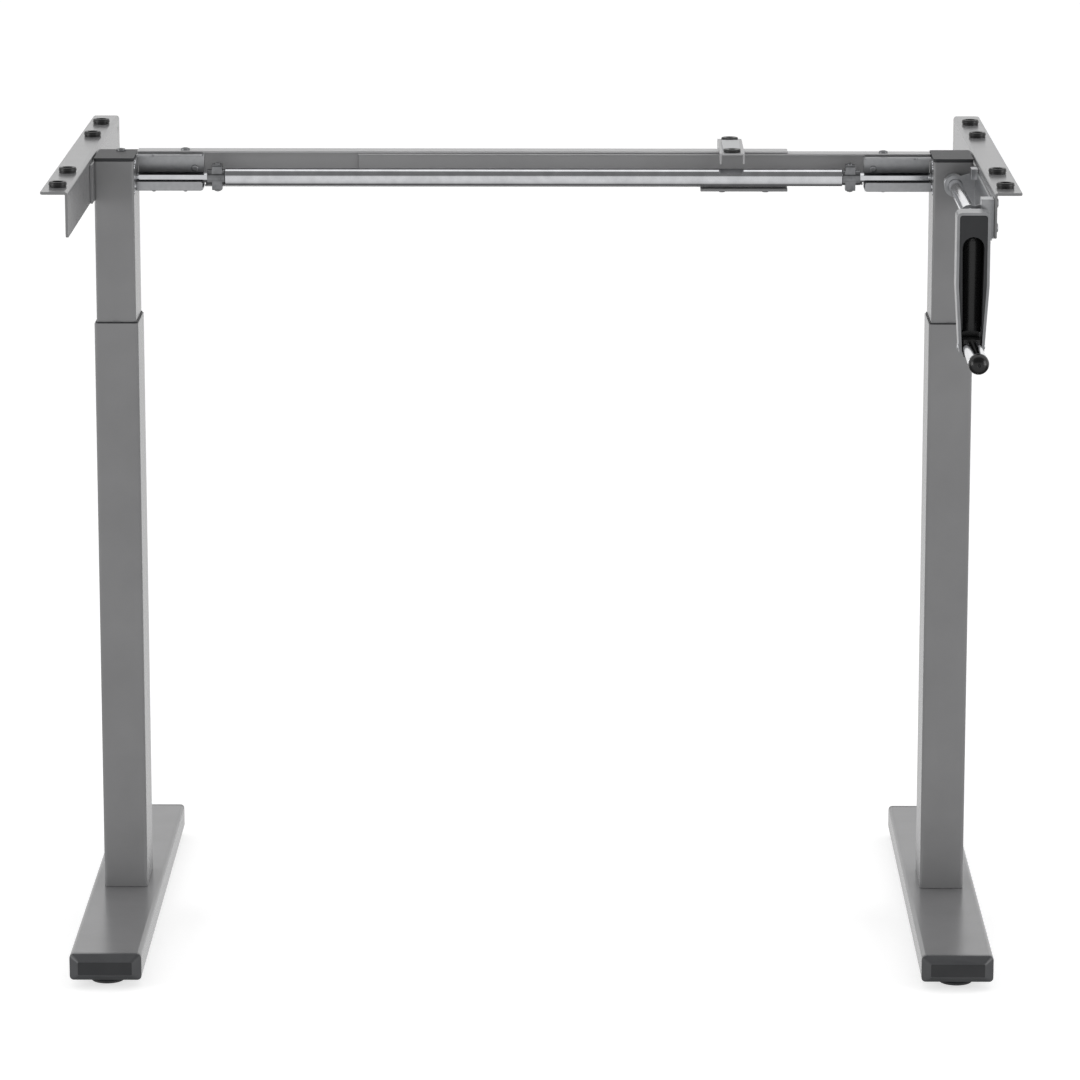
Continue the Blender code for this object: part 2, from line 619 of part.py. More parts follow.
def add_cross_shaft(side, x, inward, length):
    """A hexagonal rod with a round journal, a collar and a pinion inside the column."""
    apex = Vector((x, 0, SHAFT_Z))
    add_gear(
        f"cross_pinion_{side}", PINION_TEETH, PINION_DEPTH, math.pi / 2 - PITCH_ANGLE,
        (inward, 0, 0), 0, apex,
    )
    neck_end = x + inward * PINION_DEPTH * SMALL_END
    back = x + inward * (PINION_DEPTH + GAP)
    collar_end = back + inward * SHAFT_COLLAR
    hex_start = x + inward * (TUBE_HALF_X + GAP)
    hex_end = x + inward * (TUBE_HALF_X + length)
    low, high = sorted((hex_start, hex_end))
    mesh = rod(HEX_ROD_CORNERS / 2, low, high, "X", apex, 6)
    shaft = add_piece(f"hex_rod_{side}", mesh, "chrome")
    journal = sorted((hex_start + inward * SHAFT_COLLAR, collar_end - inward * GAP))
    join(shaft, rod(SHAFT_JOURNAL / 2 + GAP / 3, *journal, "X", apex))
    collar = sorted((back, collar_end))
    join(shaft, rod(SHAFT_JOURNAL / 2 + 0.0015, *collar, "X", apex))
    neck = sorted((neck_end, collar_end - inward * SHAFT_COLLAR / 2))
    join(shaft, rod(GEAR_BORE - RUN, *neck, "X", apex, 12))


def add_drive_tube():
    """The tube between the two hexagonal rods, clamped to the left one."""
    outer = DRIVE_TUBE_DIAMETER / 2
    loops = [circle(0, SHAFT_Z, outer, 20), circle(0, SHAFT_Z, outer - DRIVE_TUBE_WALL, 20)]
    tube = extrusion(loops, -DRIVE_TUBE_HALF + GAP, DRIVE_TUBE_HALF - GAP, "X")
    add_piece("drive_tube", tube, "chrome")
    for side, way in (("left", -1), ("right", 1)):
        inner_end = way * DRIVE_TUBE_HALF
        outer_end = inner_end + way * COUPLER_LENGTH
        bore = circle(0, SHAFT_Z, HEX_ROD_CORNERS / 2 + RUN, 12)
        loops = [circle(0, SHAFT_Z, COUPLER_DIAMETER / 2, 20), bore]
        mesh = extrusion(loops, *sorted((inner_end, outer_end)), "X")
        coupler = add_piece(f"coupler_{side}", mesh, "zinc")
        block_x = sorted((inner_end + way * 0.003, inner_end + way * (0.003 + CLAMP_LENGTH)))
        outline = rounded_rectangle(CLAMP_WIDTH / 2, CLAMP_HEIGHT / 2, 0.002, 0, SHAFT_Z, 2)
        join(coupler, extrusion([outline, bore], *block_x, "X"))


# ---------------------------------------------------------------------------- top of the frame
def channel(back, front, lower_front, low, high):
    """The outline of a sheet-metal channel that is open to the front, in (Y, Z)."""
    return [
        (front, high), (front, high - SHEET), (back - SHEET, high - SHEET),
        (back - SHEET, low + SHEET), (lower_front, low + SHEET), (lower_front, low),
        (back, low), (back, high),
    ]


def add_crossbar():
    """Two channels, one in the other, so that the frame's width can be set."""
    lower_front = CROSSBAR_BACK - CROSSBAR_LOWER_DEPTH
    outline = channel(CROSSBAR_BACK, CROSSBAR_FRONT, lower_front, CROSSBAR_BOTTOM, FRAME_TOP)
    left_end = -COLUMN_INNER_FACE + GAP
    bracket_end = COLUMN_INNER_FACE - LEG_BRACKET_LENGTH - 2 * NEST
    outer = add_piece(
        "crossbar_outer", extrusion([outline], left_end, OUTER_BAR_RIGHT, "X"), "grey_powder_coat"
    )
    low = CROSSBAR_BOTTOM - SHEET
    shorten = CROSSBAR_BOTTOM + SHEET + NEST + GAP
    cut(outer, box((left_end - SHEET, 0, low), (-bracket_end, CROSSBAR_BACK + SHEET, shorten)))

    step = SHEET + NEST
    outline = channel(
        CROSSBAR_BACK - step, CROSSBAR_FRONT, lower_front, CROSSBAR_BOTTOM + step, FRAME_TOP - step
    )
    right_end = COLUMN_INNER_FACE - GAP
    inner = add_piece(
        "crossbar_inner", extrusion([outline], INNER_BAR_LEFT, right_end, "X"), "grey_powder_coat"
    )
    shorten = CROSSBAR_BOTTOM + step + SHEET + NEST + GAP
    cut(inner, box((bracket_end, 0, low), (right_end + SHEET, CROSSBAR_BACK, shorten)))

    plate = box(
        (OUTER_BAR_RIGHT - LOCK_PLATE_LENGTH, CROSSBAR_BACK - LOCK_PLATE_DEPTH,
         CROSSBAR_BOTTOM - GAP - LOCK_PLATE_THICKNESS),
        (OUTER_BAR_RIGHT, CROSSBAR_BACK, CROSSBAR_BOTTOM - GAP),
    )
    add_piece("lock_plate", plate, "grey_powder_coat")

    half = SUPPORT_WIDTH / 2
    low, high = FRAME_TOP + GAP - SUPPORT_LIP, FRAME_TOP + GAP + SHEET
    outline = [
        (SUPPORT_X - half, low), (SUPPORT_X - half + SHEET, low),
        (SUPPORT_X - half + SHEET, high - SHEET), (SUPPORT_X + half - SHEET, high - SHEET),
        (SUPPORT_X + half - SHEET, low), (SUPPORT_X + half, low),
        (SUPPORT_X + half, high), (SUPPORT_X - half, high),
    ]
    mesh = extrusion([outline], SUPPORT_FRONT, SUPPORT_BACK, "Y")
    support = add_piece("centre_support", mesh, "grey_powder_coat")
    reach = half + SHEET
    cut(support, box(
        (SUPPORT_X - reach, CROSSBAR_FRONT - NEST, low - SHEET),
        (SUPPORT_X + reach, CROSSBAR_BACK + NEST, FRAME_TOP + GAP),
    ))


def add_leg_bracket(side, inward, top, back):
    """A short channel on the column's inner face that the crossbar is bolted over."""
    low = CROSSBAR_BOTTOM - LEG_BRACKET_DROP
    front = back - LEG_BRACKET_DEPTH
    start = -inward * (COLUMN_INNER_FACE - GAP)
    end = -inward * (COLUMN_INNER_FACE - LEG_BRACKET_LENGTH)
    mesh = extrusion([channel(back, front, front, low, top)], *sorted((start, end)), "X")
    round_edges(
        mesh, "Z", lambda middle: abs(middle.x - end) < GAP and abs(middle.y - front) < GAP, 0.004
    )
    bracket = add_piece(f"leg_bracket_{side}", mesh, "zinc")
    notch_x = start + inward * LEG_BRACKET_NOTCH_PLACE
    cut(bracket, rod(LEG_BRACKET_NOTCH / 2, top - 2 * SHEET, top + SHEET, "Z", (notch_x, front, 0), 8))


def add_side_bracket(side, outward):
    """An angle under the desktop: one flange on the column, the other level, with rubber pads."""
    face, edge = outward * BRACKET_FACE, outward * BRACKET_EDGE
    low, high = FRAME_TOP - SIDE_BRACKET_HEIGHT, FRAME_TOP
    inner = outward * (BRACKET_FACE + SIDE_BRACKET_THICKNESS)
    bend_u, bend_v = face + outward * SIDE_BRACKET_BEND, high - SIDE_BRACKET_BEND
    if outward > 0:
        bend = arc(bend_u, bend_v, SIDE_BRACKET_BEND, 180, 90)
    else:
        bend = arc(bend_u, bend_v, SIDE_BRACKET_BEND, 0, 90)
    outline = [(face, low)] + bend + [
        (edge, high), (edge, high - SIDE_BRACKET_THICKNESS),
        (inner, high - SIDE_BRACKET_THICKNESS), (inner, low),
    ]
    mesh = extrusion([outline], -SIDE_BRACKET_HALF, SIDE_BRACKET_HALF, "Y")
    round_edges(mesh, "Z", lambda m: abs(m.x - edge) < GAP, SIDE_BRACKET_CORNER)
    round_edges(mesh, "X", lambda m: abs(m.z - low) < GAP, SIDE_BRACKET_CORNER)
    bracket = add_piece(f"side_bracket_{side}", mesh, "grey_powder_coat")

    pad_x = outward * (BRACKET_EDGE - PAD_INSET)
    for number, y in enumerate(PAD_PLACES, 1):
        hole = rod(PAD_HOLE / 2, high - 2 * SIDE_BRACKET_THICKNESS, high + SHEET, "Z", (pad_x, y, 0), 8)
        cut(bracket, hole)
        add_pad(f"rubber_pad_{side}_{number}", pad_x, y)
    bolt_y = -outward * (SIDE_BRACKET_HALF - BOLT_INSET)
    reach = sorted((face - outward * SHEET, inner + outward * SHEET))
    for way in (-1, 1):
        bolt_z = low + SIDE_BRACKET_HEIGHT / 2 - 0.002 + way * BOLT_SPACING / 2
        cut(bracket, rod(BOLT_HOLE / 2, *reach, "X", (0, bolt_y, bolt_z), 8))


def add_pad(name, x, y):
    """A rubber foot for the desktop, with a sunk screw hole."""
    outer, recess, hole = PAD_DIAMETER / 2, PAD_RECESS / 2, PAD_HOLE / 2
    floor = PAD_HEIGHT - PAD_RECESS_DEPTH
    profile = [
        (outer, PAD_HEIGHT), (outer, 0), (hole, 0), (hole, floor), (recess, floor), (recess, PAD_HEIGHT),
    ]
    turned(name, profile, (x, y, FRAME_TOP + GAP), "Z", "black_rubber", SIDES, bored=True)


# ---------------------------------------------------------------------------- crank
def add_crank_shaft():
    """The round rod from the right gear housing to the crank arm, with its pinion and collar."""
    apex = Vector((COLUMN_X, 0, SHAFT_Z))
    half_pitch = math.pi / PINION_TEETH
    add_gear(
        "crank_pinion", PINION_TEETH, PINION_DEPTH, math.pi / 2 - PITCH_ANGLE,
        (0, -1, 0), half_pitch, apex, CRANK_AXIS,
    )
    room_y = INSIDE_Y - HOUSING_END_WALL
    neck, collar, rod_radius = GEAR_BORE - RUN, SHAFT_JOURNAL / 2 + 0.0015, CRANK_ROD_DIAMETER / 2
    back = PINION_DEPTH + GAP
    arm = -CRANK_ARM_BACK - GAP
    stations = [
        (0, arm), (rod_radius, arm), (rod_radius, room_y - GAP), (collar, room_y - GAP),
        (collar, back), (neck, back), (neck, PINION_DEPTH * SMALL_END), (0, PINION_DEPTH * SMALL_END),
    ]
    profile = [(radius, -distance) for radius, distance in reversed(stations)]
    turned("crank_rod", profile, apex, "Y", "chrome", 20, holder=CRANK_AXIS)

    start = -(TUBE_HALF_Y + GAP)
    bore = rod_radius + RUN
    ring = COLLAR_DIAMETER / 2
    profile = [(ring, 0), (ring, -COLLAR_LENGTH), (bore, -COLLAR_LENGTH), (bore, 0)]
    place = (COLUMN_X, start, SHAFT_Z)
    turned("crank_collar", profile, place, "Y", "zinc", 20, bored=True, holder=CRANK_AXIS)


def arm_outline(inset):
    """The arm seen from the front: wide and square at the rod, narrow and round at the hinge."""
    top = SHAFT_Z + CRANK_ARM_ABOVE_ROD - inset
    low = KNUCKLE_Z - KNUCKLE_RADIUS + inset
    wide, narrow = CRANK_ARM_TOP_WIDTH / 2 - inset, CRANK_ARM_FOOT_WIDTH / 2 - inset
    corner = max(0.006 - inset, 0.002)
    shoulder = KNUCKLE_Z + CRANK_RADIUS / 2
    left = [(COLUMN_X - wide, shoulder), (COLUMN_X - narrow, low + corner)]
    return (
        arc(COLUMN_X + wide - corner, top - corner, corner, 0, 90)
        + arc(COLUMN_X - wide + corner, top - corner, corner, 90, 180)
        + left
        + arc(COLUMN_X - narrow + corner, low + corner, corner, 180, 270)[1:]
        + arc(COLUMN_X + narrow - corner, low + corner, corner, 270, 360)
        + [(COLUMN_X + wide, shoulder)]
    )


def recess_outline(slack):
    """The slot that the folded grip lies in, round at the top and open past the hinge."""
    top_radius = GRIP_DIAMETER / 2 + slack
    foot_half = GRIP_NECK_DIAMETER / 2 + slack
    top = KNUCKLE_Z + (KNUCKLE_Y - GRIP_REACH) + slack
    low = KNUCKLE_Z - KNUCKLE_RADIUS - 0.004
    return arc(COLUMN_X, top - top_radius, top_radius, 0, 180, 8) + [
        (COLUMN_X - foot_half, KNUCKLE_Z + KNUCKLE_LENGTH), (COLUMN_X - foot_half, low),
        (COLUMN_X + foot_half, low), (COLUMN_X + foot_half, KNUCKLE_Z + KNUCKLE_LENGTH),
    ]


def add_crank_arm():
    """The arm is a shallow tray with a plastic liner, in which the folded grip lies."""
    back, front = CRANK_ARM_BACK, CRANK_ARM_BACK - CRANK_ARM_DEPTH
    floor = back - ARM_BACK_WALL
    arm = add_piece(
        "crank_arm", extrusion([arm_outline(0)], front, back, "Y"), "silver_grey_enamel", CRANK_AXIS
    )
    slot_top = KNUCKLE_Z + KNUCKLE_LENGTH + 0.006
    cut(arm, extrusion([arm_outline(ARM_RIM)], front - SHEET, floor, "Y"))
    fork_half = KNUCKLE_WIDTH / 2 + RECESS_SLACK
    fork = box(
        (COLUMN_X - fork_half, front - SHEET, KNUCKLE_Z - KNUCKLE_RADIUS - SHEET),
        (COLUMN_X + fork_half, floor - GAP / 2, KNUCKLE_Z),
    )
    cut(arm, fork)

    mesh = extrusion([arm_outline(ARM_RIM + GAP)], front, floor - GAP, "Y")
    liner = add_piece("arm_liner", mesh, "charcoal_plastic", CRANK_AXIS)
    recess_floor = KNUCKLE_Y + GRIP_DIAMETER / 2 + RECESS_SLACK
    cut(liner, extrusion([recess_outline(RECESS_SLACK)], front - SHEET, recess_floor, "Y"))
    cut(liner, box(
        (COLUMN_X - CRANK_ARM_TOP_WIDTH, front - SHEET, KNUCKLE_Z - KNUCKLE_RADIUS - SHEET),
        (COLUMN_X + CRANK_ARM_TOP_WIDTH, floor, slot_top),
    ))


def add_grip():
    """The folding grip: a knuckle with a spindle, a loose sleeve on it and an end cap."""
    bend = arc(KNUCKLE_Y, KNUCKLE_Z, KNUCKLE_RADIUS, 90, -90, 8)
    front = KNUCKLE_Y - KNUCKLE_LENGTH
    outline = bend + [(front, KNUCKLE_Z - KNUCKLE_RADIUS), (front, KNUCKLE_Z + KNUCKLE_RADIUS)]
    half = KNUCKLE_WIDTH / 2
    mesh = extrusion([outline], COLUMN_X - half, COLUMN_X + half, "X")
    knuckle = add_piece("grip_knuckle", mesh, "black_plastic", GRIP_HINGE)
    cap_start = GRIP_REACH + GRIP_CAP_LENGTH
    spindle_end = cap_start + 0.002
    join(knuckle, rod(GRIP_SPINDLE / 2, spindle_end, front + GAP, "Y", (COLUMN_X, 0, KNUCKLE_Z), 12))

    bore = GRIP_SPINDLE / 2 + RUN
    length = front - GAP - cap_start - GAP
    neck, body = GRIP_NECK_DIAMETER / 2, GRIP_DIAMETER / 2
    profile = [(neck, 0), (body, -length), (bore, -length), (bore, 0)]
    place = (COLUMN_X, front - GAP, KNUCKLE_Z)
    turned("grip_sleeve", profile, place, "Y", "silver_grey_enamel", 20, bored=True)

    dome = [(body * math.cos(a), -GRIP_CAP_LENGTH * math.sin(a)) for a in (0, 0.35, 0.75, 1.15)]
    profile = [(0, 0)] + dome + [(0, -GRIP_CAP_LENGTH)]
    turned("grip_end_cap", profile, (COLUMN_X, cap_start, KNUCKLE_Z), "Y", "black_plastic", 20)


def add_crank_stay():
    """A bent plate on the right side bracket, with two lugs that steady the crank rod."""
    face = BRACKET_FACE - GAP
    inner = face - STAY_THICKNESS
    high = FRAME_TOP - SIDE_BRACKET_THICKNESS - 0.008
    low = high - STAY_HEIGHT
    mesh = box((inner, STAY_FRONT, low), (face, STAY_BACK, high))
    stay = add_piece("crank_stay", mesh, "zinc")
    bore = CRANK_ROD_DIAMETER / 2 + 0.0006
    for start in (STAY_FRONT, STAY_BACK - STAY_THICKNESS):
        boss = arc(COLUMN_X, SHAFT_Z, STAY_BOSS, 65, 290, 10)
        lug = boss + [(inner + STAY_THICKNESS / 2, low + 0.002), (inner + STAY_THICKNESS / 2, high - 0.001)]
        mesh = extrusion([lug, circle(COLUMN_X, SHAFT_Z, bore)], start, start + STAY_THICKNESS, "Y")
        join(stay, mesh)
    bolt_y = -(SIDE_BRACKET_HALF - BOLT_INSET)
    if bolt_y > STAY_FRONT:
        cut(stay, rod(BOLT_HOLE / 2, inner - SHEET, face + SHEET, "X", (0, bolt_y, SHAFT_Z), 8))


# ---------------------------------------------------------------------------- assembly
for side_name, sign in (("left", -1), ("right", 1)):
    add_foot(side_name, sign * COLUMN_X)
    add_lower_column(side_name, sign * COLUMN_X)
    add_upper_column(side_name, sign * COLUMN_X, -sign, has_crank=sign > 0)
    add_lead_screw(side_name, sign * COLUMN_X)
    add_side_bracket(side_name, sign)

add_cross_shaft("left", -COLUMN_X, 1, HEX_ROD_LEFT_LENGTH)
add_cross_shaft("right", COLUMN_X, -1, HEX_ROD_RIGHT_LENGTH)
add_drive_tube()
add_crossbar()
add_leg_bracket("left", 1, FRAME_TOP - SHEET - NEST, CROSSBAR_BACK - SHEET - NEST)
add_leg_bracket("right", -1, FRAME_TOP - 2 * (SHEET + NEST), CROSSBAR_BACK - 2 * (SHEET + NEST))
add_crank_shaft()
add_crank_arm()
add_grip()
add_crank_stay()

for item in PARTS.objects:
    if item.type == "MESH":
        item.data.shade_smooth()
        item.data.set_sharp_from_angle(angle=math.radians(35))
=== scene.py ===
"""The looks of a hand-cranked, height adjustable desk frame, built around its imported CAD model.

Metres, +Z up, +X towards the crank's leg, -Y towards the user.
"""

import json
import math

import bmesh
import bpy
from mathutils import Matrix, Vector


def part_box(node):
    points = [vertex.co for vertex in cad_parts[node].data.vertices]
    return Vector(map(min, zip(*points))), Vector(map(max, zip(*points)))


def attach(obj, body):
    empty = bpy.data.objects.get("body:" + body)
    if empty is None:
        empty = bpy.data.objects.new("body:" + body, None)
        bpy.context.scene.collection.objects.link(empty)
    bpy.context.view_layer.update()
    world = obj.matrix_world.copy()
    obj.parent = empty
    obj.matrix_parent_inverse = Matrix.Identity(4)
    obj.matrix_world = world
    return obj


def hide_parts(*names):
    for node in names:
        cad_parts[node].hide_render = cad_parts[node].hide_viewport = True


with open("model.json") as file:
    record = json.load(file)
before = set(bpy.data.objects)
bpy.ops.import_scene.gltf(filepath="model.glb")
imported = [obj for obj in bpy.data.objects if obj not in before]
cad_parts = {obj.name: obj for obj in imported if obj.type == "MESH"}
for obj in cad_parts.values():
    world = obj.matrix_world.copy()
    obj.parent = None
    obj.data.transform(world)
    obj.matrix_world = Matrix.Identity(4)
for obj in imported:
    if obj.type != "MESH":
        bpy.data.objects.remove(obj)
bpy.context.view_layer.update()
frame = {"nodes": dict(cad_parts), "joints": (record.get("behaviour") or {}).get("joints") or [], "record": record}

AXES = {"X": Vector((1, 0, 0)), "Y": Vector((0, 1, 0)), "Z": Vector((0, 0, 1))}
SIDES = ("left", "right")
OUTWARD = {"left": -1, "right": 1}
ROUND = 64                  # facets of a turned piece
MM = 0.001
HALF_FLAT = math.pi / 6      # half of a hexagon's side, as an angle


def middle(node):
    low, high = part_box(node)
    return (low + high) / 2


SHAFT = {side: middle(f"lead_screw_{side}") for side in SIDES}
SHAFT_Z = middle("drive_tube").z
COLUMN_Y = middle("upper_tube_left").y
COLUMN_X = {side: middle(f"lower_tube_{side}").x for side in SIDES}


# ---------------------------------------------------------------------------- materials
def linear(hex_colour):
    """An sRGB hex colour as the linear RGBA that shaders take."""
    levels = [int(hex_colour[i : i + 2], 16) / 255 for i in (1, 3, 5)]
    return (*[v / 12.92 if v <= 0.04045 else ((v + 0.055) / 1.055) ** 2.4 for v in levels], 1.0)


def add(tree, kind, settings=None, links=None, stops=()):
    """Adds a node, sets its own settings or its sockets by name, and links its inputs.

    Stops are the (position, colour) pairs of a colour ramp, in order.
    """
    node = tree.nodes.new("ShaderNode" + kind)
    for key, value in (settings or {}).items():
        if isinstance(key, str) and hasattr(node, key):
            setattr(node, key, value)
        else:
            node.inputs[key].default_value = value
    for key, source in (links or {}).items():
        tree.links.new(source, node.inputs[key])
    for number, (position, colour) in enumerate(stops):
        points = node.color_ramp.elements
        point = points[number] if number < len(points) else points.new(position)
        point.position, point.color = position, colour
    return node


def start_material(name, **shader_settings):
    """A node material with its shader, and with object coordinates to read patterns from."""
    material = bpy.data.materials.new(name)
    material.use_nodes = True
    tree = material.node_tree
    shader = tree.nodes["Principled BSDF"]
    for key, value in shader_settings.items():
        shader.inputs[key.replace("_", " ")].default_value = value
    place = add(tree, "TexCoord").outputs["Object"]
    return material, tree, shader, place


def pitch(millimetres):
    """The texture scale whose pattern repeats about every so many millimetres."""
    return 1 / (millimetres * MM)


# The part of a noise's 0 to 1 that its colours are spread over.
NOISE_LOW, NOISE_HIGH = 0.3, 0.7


def connect(tree, shader, colour, gloss, bump):
    """Links a material's colour, roughness and bump to its shader."""
    tree.links.new(colour.outputs["Color"], shader.inputs["Base Color"])
    tree.links.new(gloss.outputs["Result"], shader.inputs["Roughness"])
    tree.links.new(bump.outputs["Normal"], shader.inputs["Normal"])


def powder_coat(name, dark, light, roughness):
    """Polyester powder, sprayed and baked: an even grey with a fine orange peel and a soft sheen."""
    material, tree, shader, place = start_material(name, IOR=1.5)
    # The peel is about 0.9 mm across. Film thickness varies the grey over some 60 mm.
    peel = add(tree, "TexNoise", {"Scale": pitch(0.9), "Detail": 2.0}, {"Vector": place})
    cloud = add(tree, "TexNoise", {"Scale": pitch(60), "Detail": 3.0}, {"Vector": place})
    grey = add(
        tree, "ValToRGB", links={"Fac": cloud.outputs["Fac"]},
        stops=((NOISE_LOW, linear(dark)), (NOISE_HIGH, linear(light))),
    )
    uneven = 0.04
    sheen = add(
        tree, "MapRange", {"To Min": roughness - uneven, "To Max": roughness + uneven},
        {"Value": peel.outputs["Fac"]},
    )
    bump = add(tree, "Bump", {"Strength": 0.10, "Distance": 0.03 * MM}, {"Height": peel.outputs["Fac"]})
    connect(tree, shader, grey, sheen, bump)
    return material


def chrome_plate():
    """Polished bright chrome on steel tube: mirror-like, with faint polishing haze round the tube."""
    material, tree, shader, place = start_material("bright_chrome_plate", Metallic=1.0)
    haze = add(tree, "TexNoise", {"Scale": pitch(14), "Detail": 4.0}, {"Vector": place})
    line = add(tree, "TexNoise", {"Scale": pitch(0.7), "Detail": 1.0}, {"Vector": place})
    grey = add(
        tree, "ValToRGB", links={"Fac": haze.outputs["Fac"]},
        stops=((NOISE_LOW, linear("#d2d3d6")), (NOISE_HIGH, linear("#e2e3e6"))),
    )
    gloss = add(tree, "MapRange", {"To Min": 0.07, "To Max": 0.16}, {"Value": haze.outputs["Fac"]})
    bump = add(tree, "Bump", {"Strength": 0.04, "Distance": 0.01 * MM}, {"Height": line.outputs["Fac"]})
    connect(tree, shader, grey, gloss, bump)
    return material


def zinc_plate():
    """Bright zinc plate on pressed steel: light grey, cloudy, with fine scratches from the tumbler."""
    material, tree, shader, place = start_material("bright_zinc_plate", Metallic=1.0)
    # Plating clouds of about 5 mm and tumbling scratches 0.5 mm apart.
    cloud = add(tree, "TexNoise", {"Scale": pitch(5), "Detail": 4.0}, {"Vector": place})
    stretch = add(tree, "Mapping", {"Scale": (0.12, 1.0, 1.0)}, {"Vector": place})
    scratch = add(
        tree, "TexNoise", {"Scale": pitch(0.5), "Detail": 2.0}, {"Vector": stretch.outputs["Vector"]}
    )
    grey = add(
        tree, "ValToRGB", links={"Fac": cloud.outputs["Fac"]},
        stops=((NOISE_LOW, linear("#a9aaac")), (NOISE_HIGH, linear("#b3b4b6"))),
    )
    gloss = add(tree, "MapRange", {"To Min": 0.27, "To Max": 0.35}, {"Value": cloud.outputs["Fac"]})
    bump = add(
        tree, "Bump", {"Strength": 0.12, "Distance": 0.02 * MM}, {"Height": scratch.outputs["Fac"]}
    )
    connect(tree, shader, grey, gloss, bump)
    return material


def cut_steel():
    """Turned and hobbed steel with a film of grease: mid grey with rings from the tool."""
    material, tree, shader, place = start_material("greased_cut_steel", Metallic=1.0)
    # Turning marks 0.6 mm apart, with a greasy cloud of about 8 mm.
    mark = add(tree, "TexNoise", {"Scale": pitch(0.6), "Detail": 1.0}, {"Vector": place})
    film = add(tree, "TexNoise", {"Scale": pitch(8), "Detail": 3.0}, {"Vector": place})
    grey = add(
        tree, "ValToRGB", links={"Fac": film.outputs["Fac"]},
        stops=((NOISE_LOW, linear("#77787a")), (NOISE_HIGH, linear("#939496"))),
    )
    gloss = add(tree, "MapRange", {"To Min": 0.22, "To Max": 0.42}, {"Value": film.outputs["Fac"]})
    bump = add(tree, "Bump", {"Strength": 0.15, "Distance": 0.02 * MM}, {"Height": mark.outputs["Fac"]})
    connect(tree, shader, grey, gloss, bump)
    return material


def turned_brass():
    """Turned brass nut: warm yellow with a slightly dulled skin."""
    material, tree, shader, place = start_material("turned_brass", Metallic=1.0)
    dull = add(tree, "TexNoise", {"Scale": pitch(6), "Detail": 3.0}, {"Vector": place})
    mark = add(tree, "TexNoise", {"Scale": pitch(0.6), "Detail": 1.0}, {"Vector": place})
    gold = add(
        tree, "ValToRGB", links={"Fac": dull.outputs["Fac"]},
        stops=((NOISE_LOW, linear("#b0883c")), (NOISE_HIGH, linear("#cda554"))),
    )
    gloss = add(tree, "MapRange", {"To Min": 0.22, "To Max": 0.38}, {"Value": dull.outputs["Fac"]})
    bump = add(tree, "Bump", {"Strength": 0.15, "Distance": 0.02 * MM}, {"Height": mark.outputs["Fac"]})
    connect(tree, shader, gold, gloss, bump)
    return material


def plastic(name, dark, light, grain_mm, rough, depth_mm, strength):
    """Injection moulded plastic with the eroded grain of its mould."""
    material, tree, shader, place = start_material(name, IOR=1.5)
    grain = add(tree, "TexVoronoi", {"Scale": pitch(grain_mm)}, {"Vector": place})
    flow = add(tree, "TexNoise", {"Scale": pitch(25), "Detail": 2.0}, {"Vector": place})
    colour = add(
        tree, "ValToRGB", links={"Fac": flow.outputs["Fac"]},
        stops=((NOISE_LOW, linear(dark)), (NOISE_HIGH, linear(light))),
    )
    gloss = add(
        tree, "MapRange", {"To Min": rough[0], "To Max": rough[1]}, {"Value": grain.outputs["Distance"]}
    )
    bump = add(
        tree, "Bump", {"Strength": strength, "Distance": depth_mm * MM},
        {"Height": grain.outputs["Distance"]},
    )
    connect(tree, shader, colour, gloss, bump)
    return material


def metallic_enamel():
    """Silver-grey stoving enamel: a smooth film whose metal flake lightens towards the light."""
    material, tree, shader, place = start_material("silver_stoving_enamel", Metallic=0.45)
    shader.inputs["Coat Weight"].default_value = 0.15
    shader.inputs["Coat Roughness"].default_value = 0.25
    # Flakes are drawn 0.6 mm apart, coarser than the real ones, so that they show.
    flake = add(tree, "TexVoronoi", {"Scale": pitch(0.6)}, {"Vector": place})
    cloud = add(tree, "TexNoise", {"Scale": pitch(20), "Detail": 2.0}, {"Vector": place})
    silver = add(
        tree, "ValToRGB", links={"Fac": cloud.outputs["Fac"]},
        stops=((NOISE_LOW, linear("#8e8f91")), (NOISE_HIGH, linear("#9c9d9f"))),
    )
    gloss = add(
        tree, "MapRange", {"To Min": 0.26, "To Max": 0.38}, {"Value": flake.outputs["Distance"]}
    )
    bump = add(
        tree, "Bump", {"Strength": 0.06, "Distance": 0.01 * MM}, {"Height": flake.outputs["Distance"]}
    )
    connect(tree, shader, silver, gloss, bump)
    return material


MATERIALS = {
    "grey_powder_coat": powder_coat("polyester_powder_coat", "#868687", "#8c8c8d", 0.23),
    # The crossbar and its support are sprayed a paler, silkier grey than the legs.
    "pale_powder_coat": powder_coat("silky_powder_coat", "#b4b4b5", "#bababb", 0.30),
    "chrome": chrome_plate(),
    "zinc": zinc_plate(),
    "machined_steel": cut_steel(),
    "brass": turned_brass(),
    # Moulded polypropylene with a spark-eroded grain about 0.7 mm across, charcoal and matt.
    "charcoal_plastic": plastic(
        "grained_polypropylene", "#252629", "#2c2d2f", 0.7, (0.40, 0.55), 0.05, 0.35
    ),
    # The same polypropylene with a smoother skin, in a paler grey: painted highlight for the light on the foot
    # caps' bevels.
    "painted_highlight_grey_plastic": plastic(
        "polypropylene_painted_highlight", "#4c4d4f", "#525355", 1.0, (0.26, 0.36), 0.02, 0.12
    ),
    # Moulded nylon with a nearly polished skin, black with clear highlights.
    "black_plastic": plastic("satin_nylon", "#101011", "#151516", 1.2, (0.22, 0.32), 0.02, 0.15),
    "silver_grey_enamel": metallic_enamel(),
    # Moulded nitrile rubber with a faint bloom, black with broad soft highlights.
    "black_rubber": plastic("nitrile_rubber", "#0f0f10", "#181819", 0.9, (0.30, 0.48), 0.04, 0.30),
}


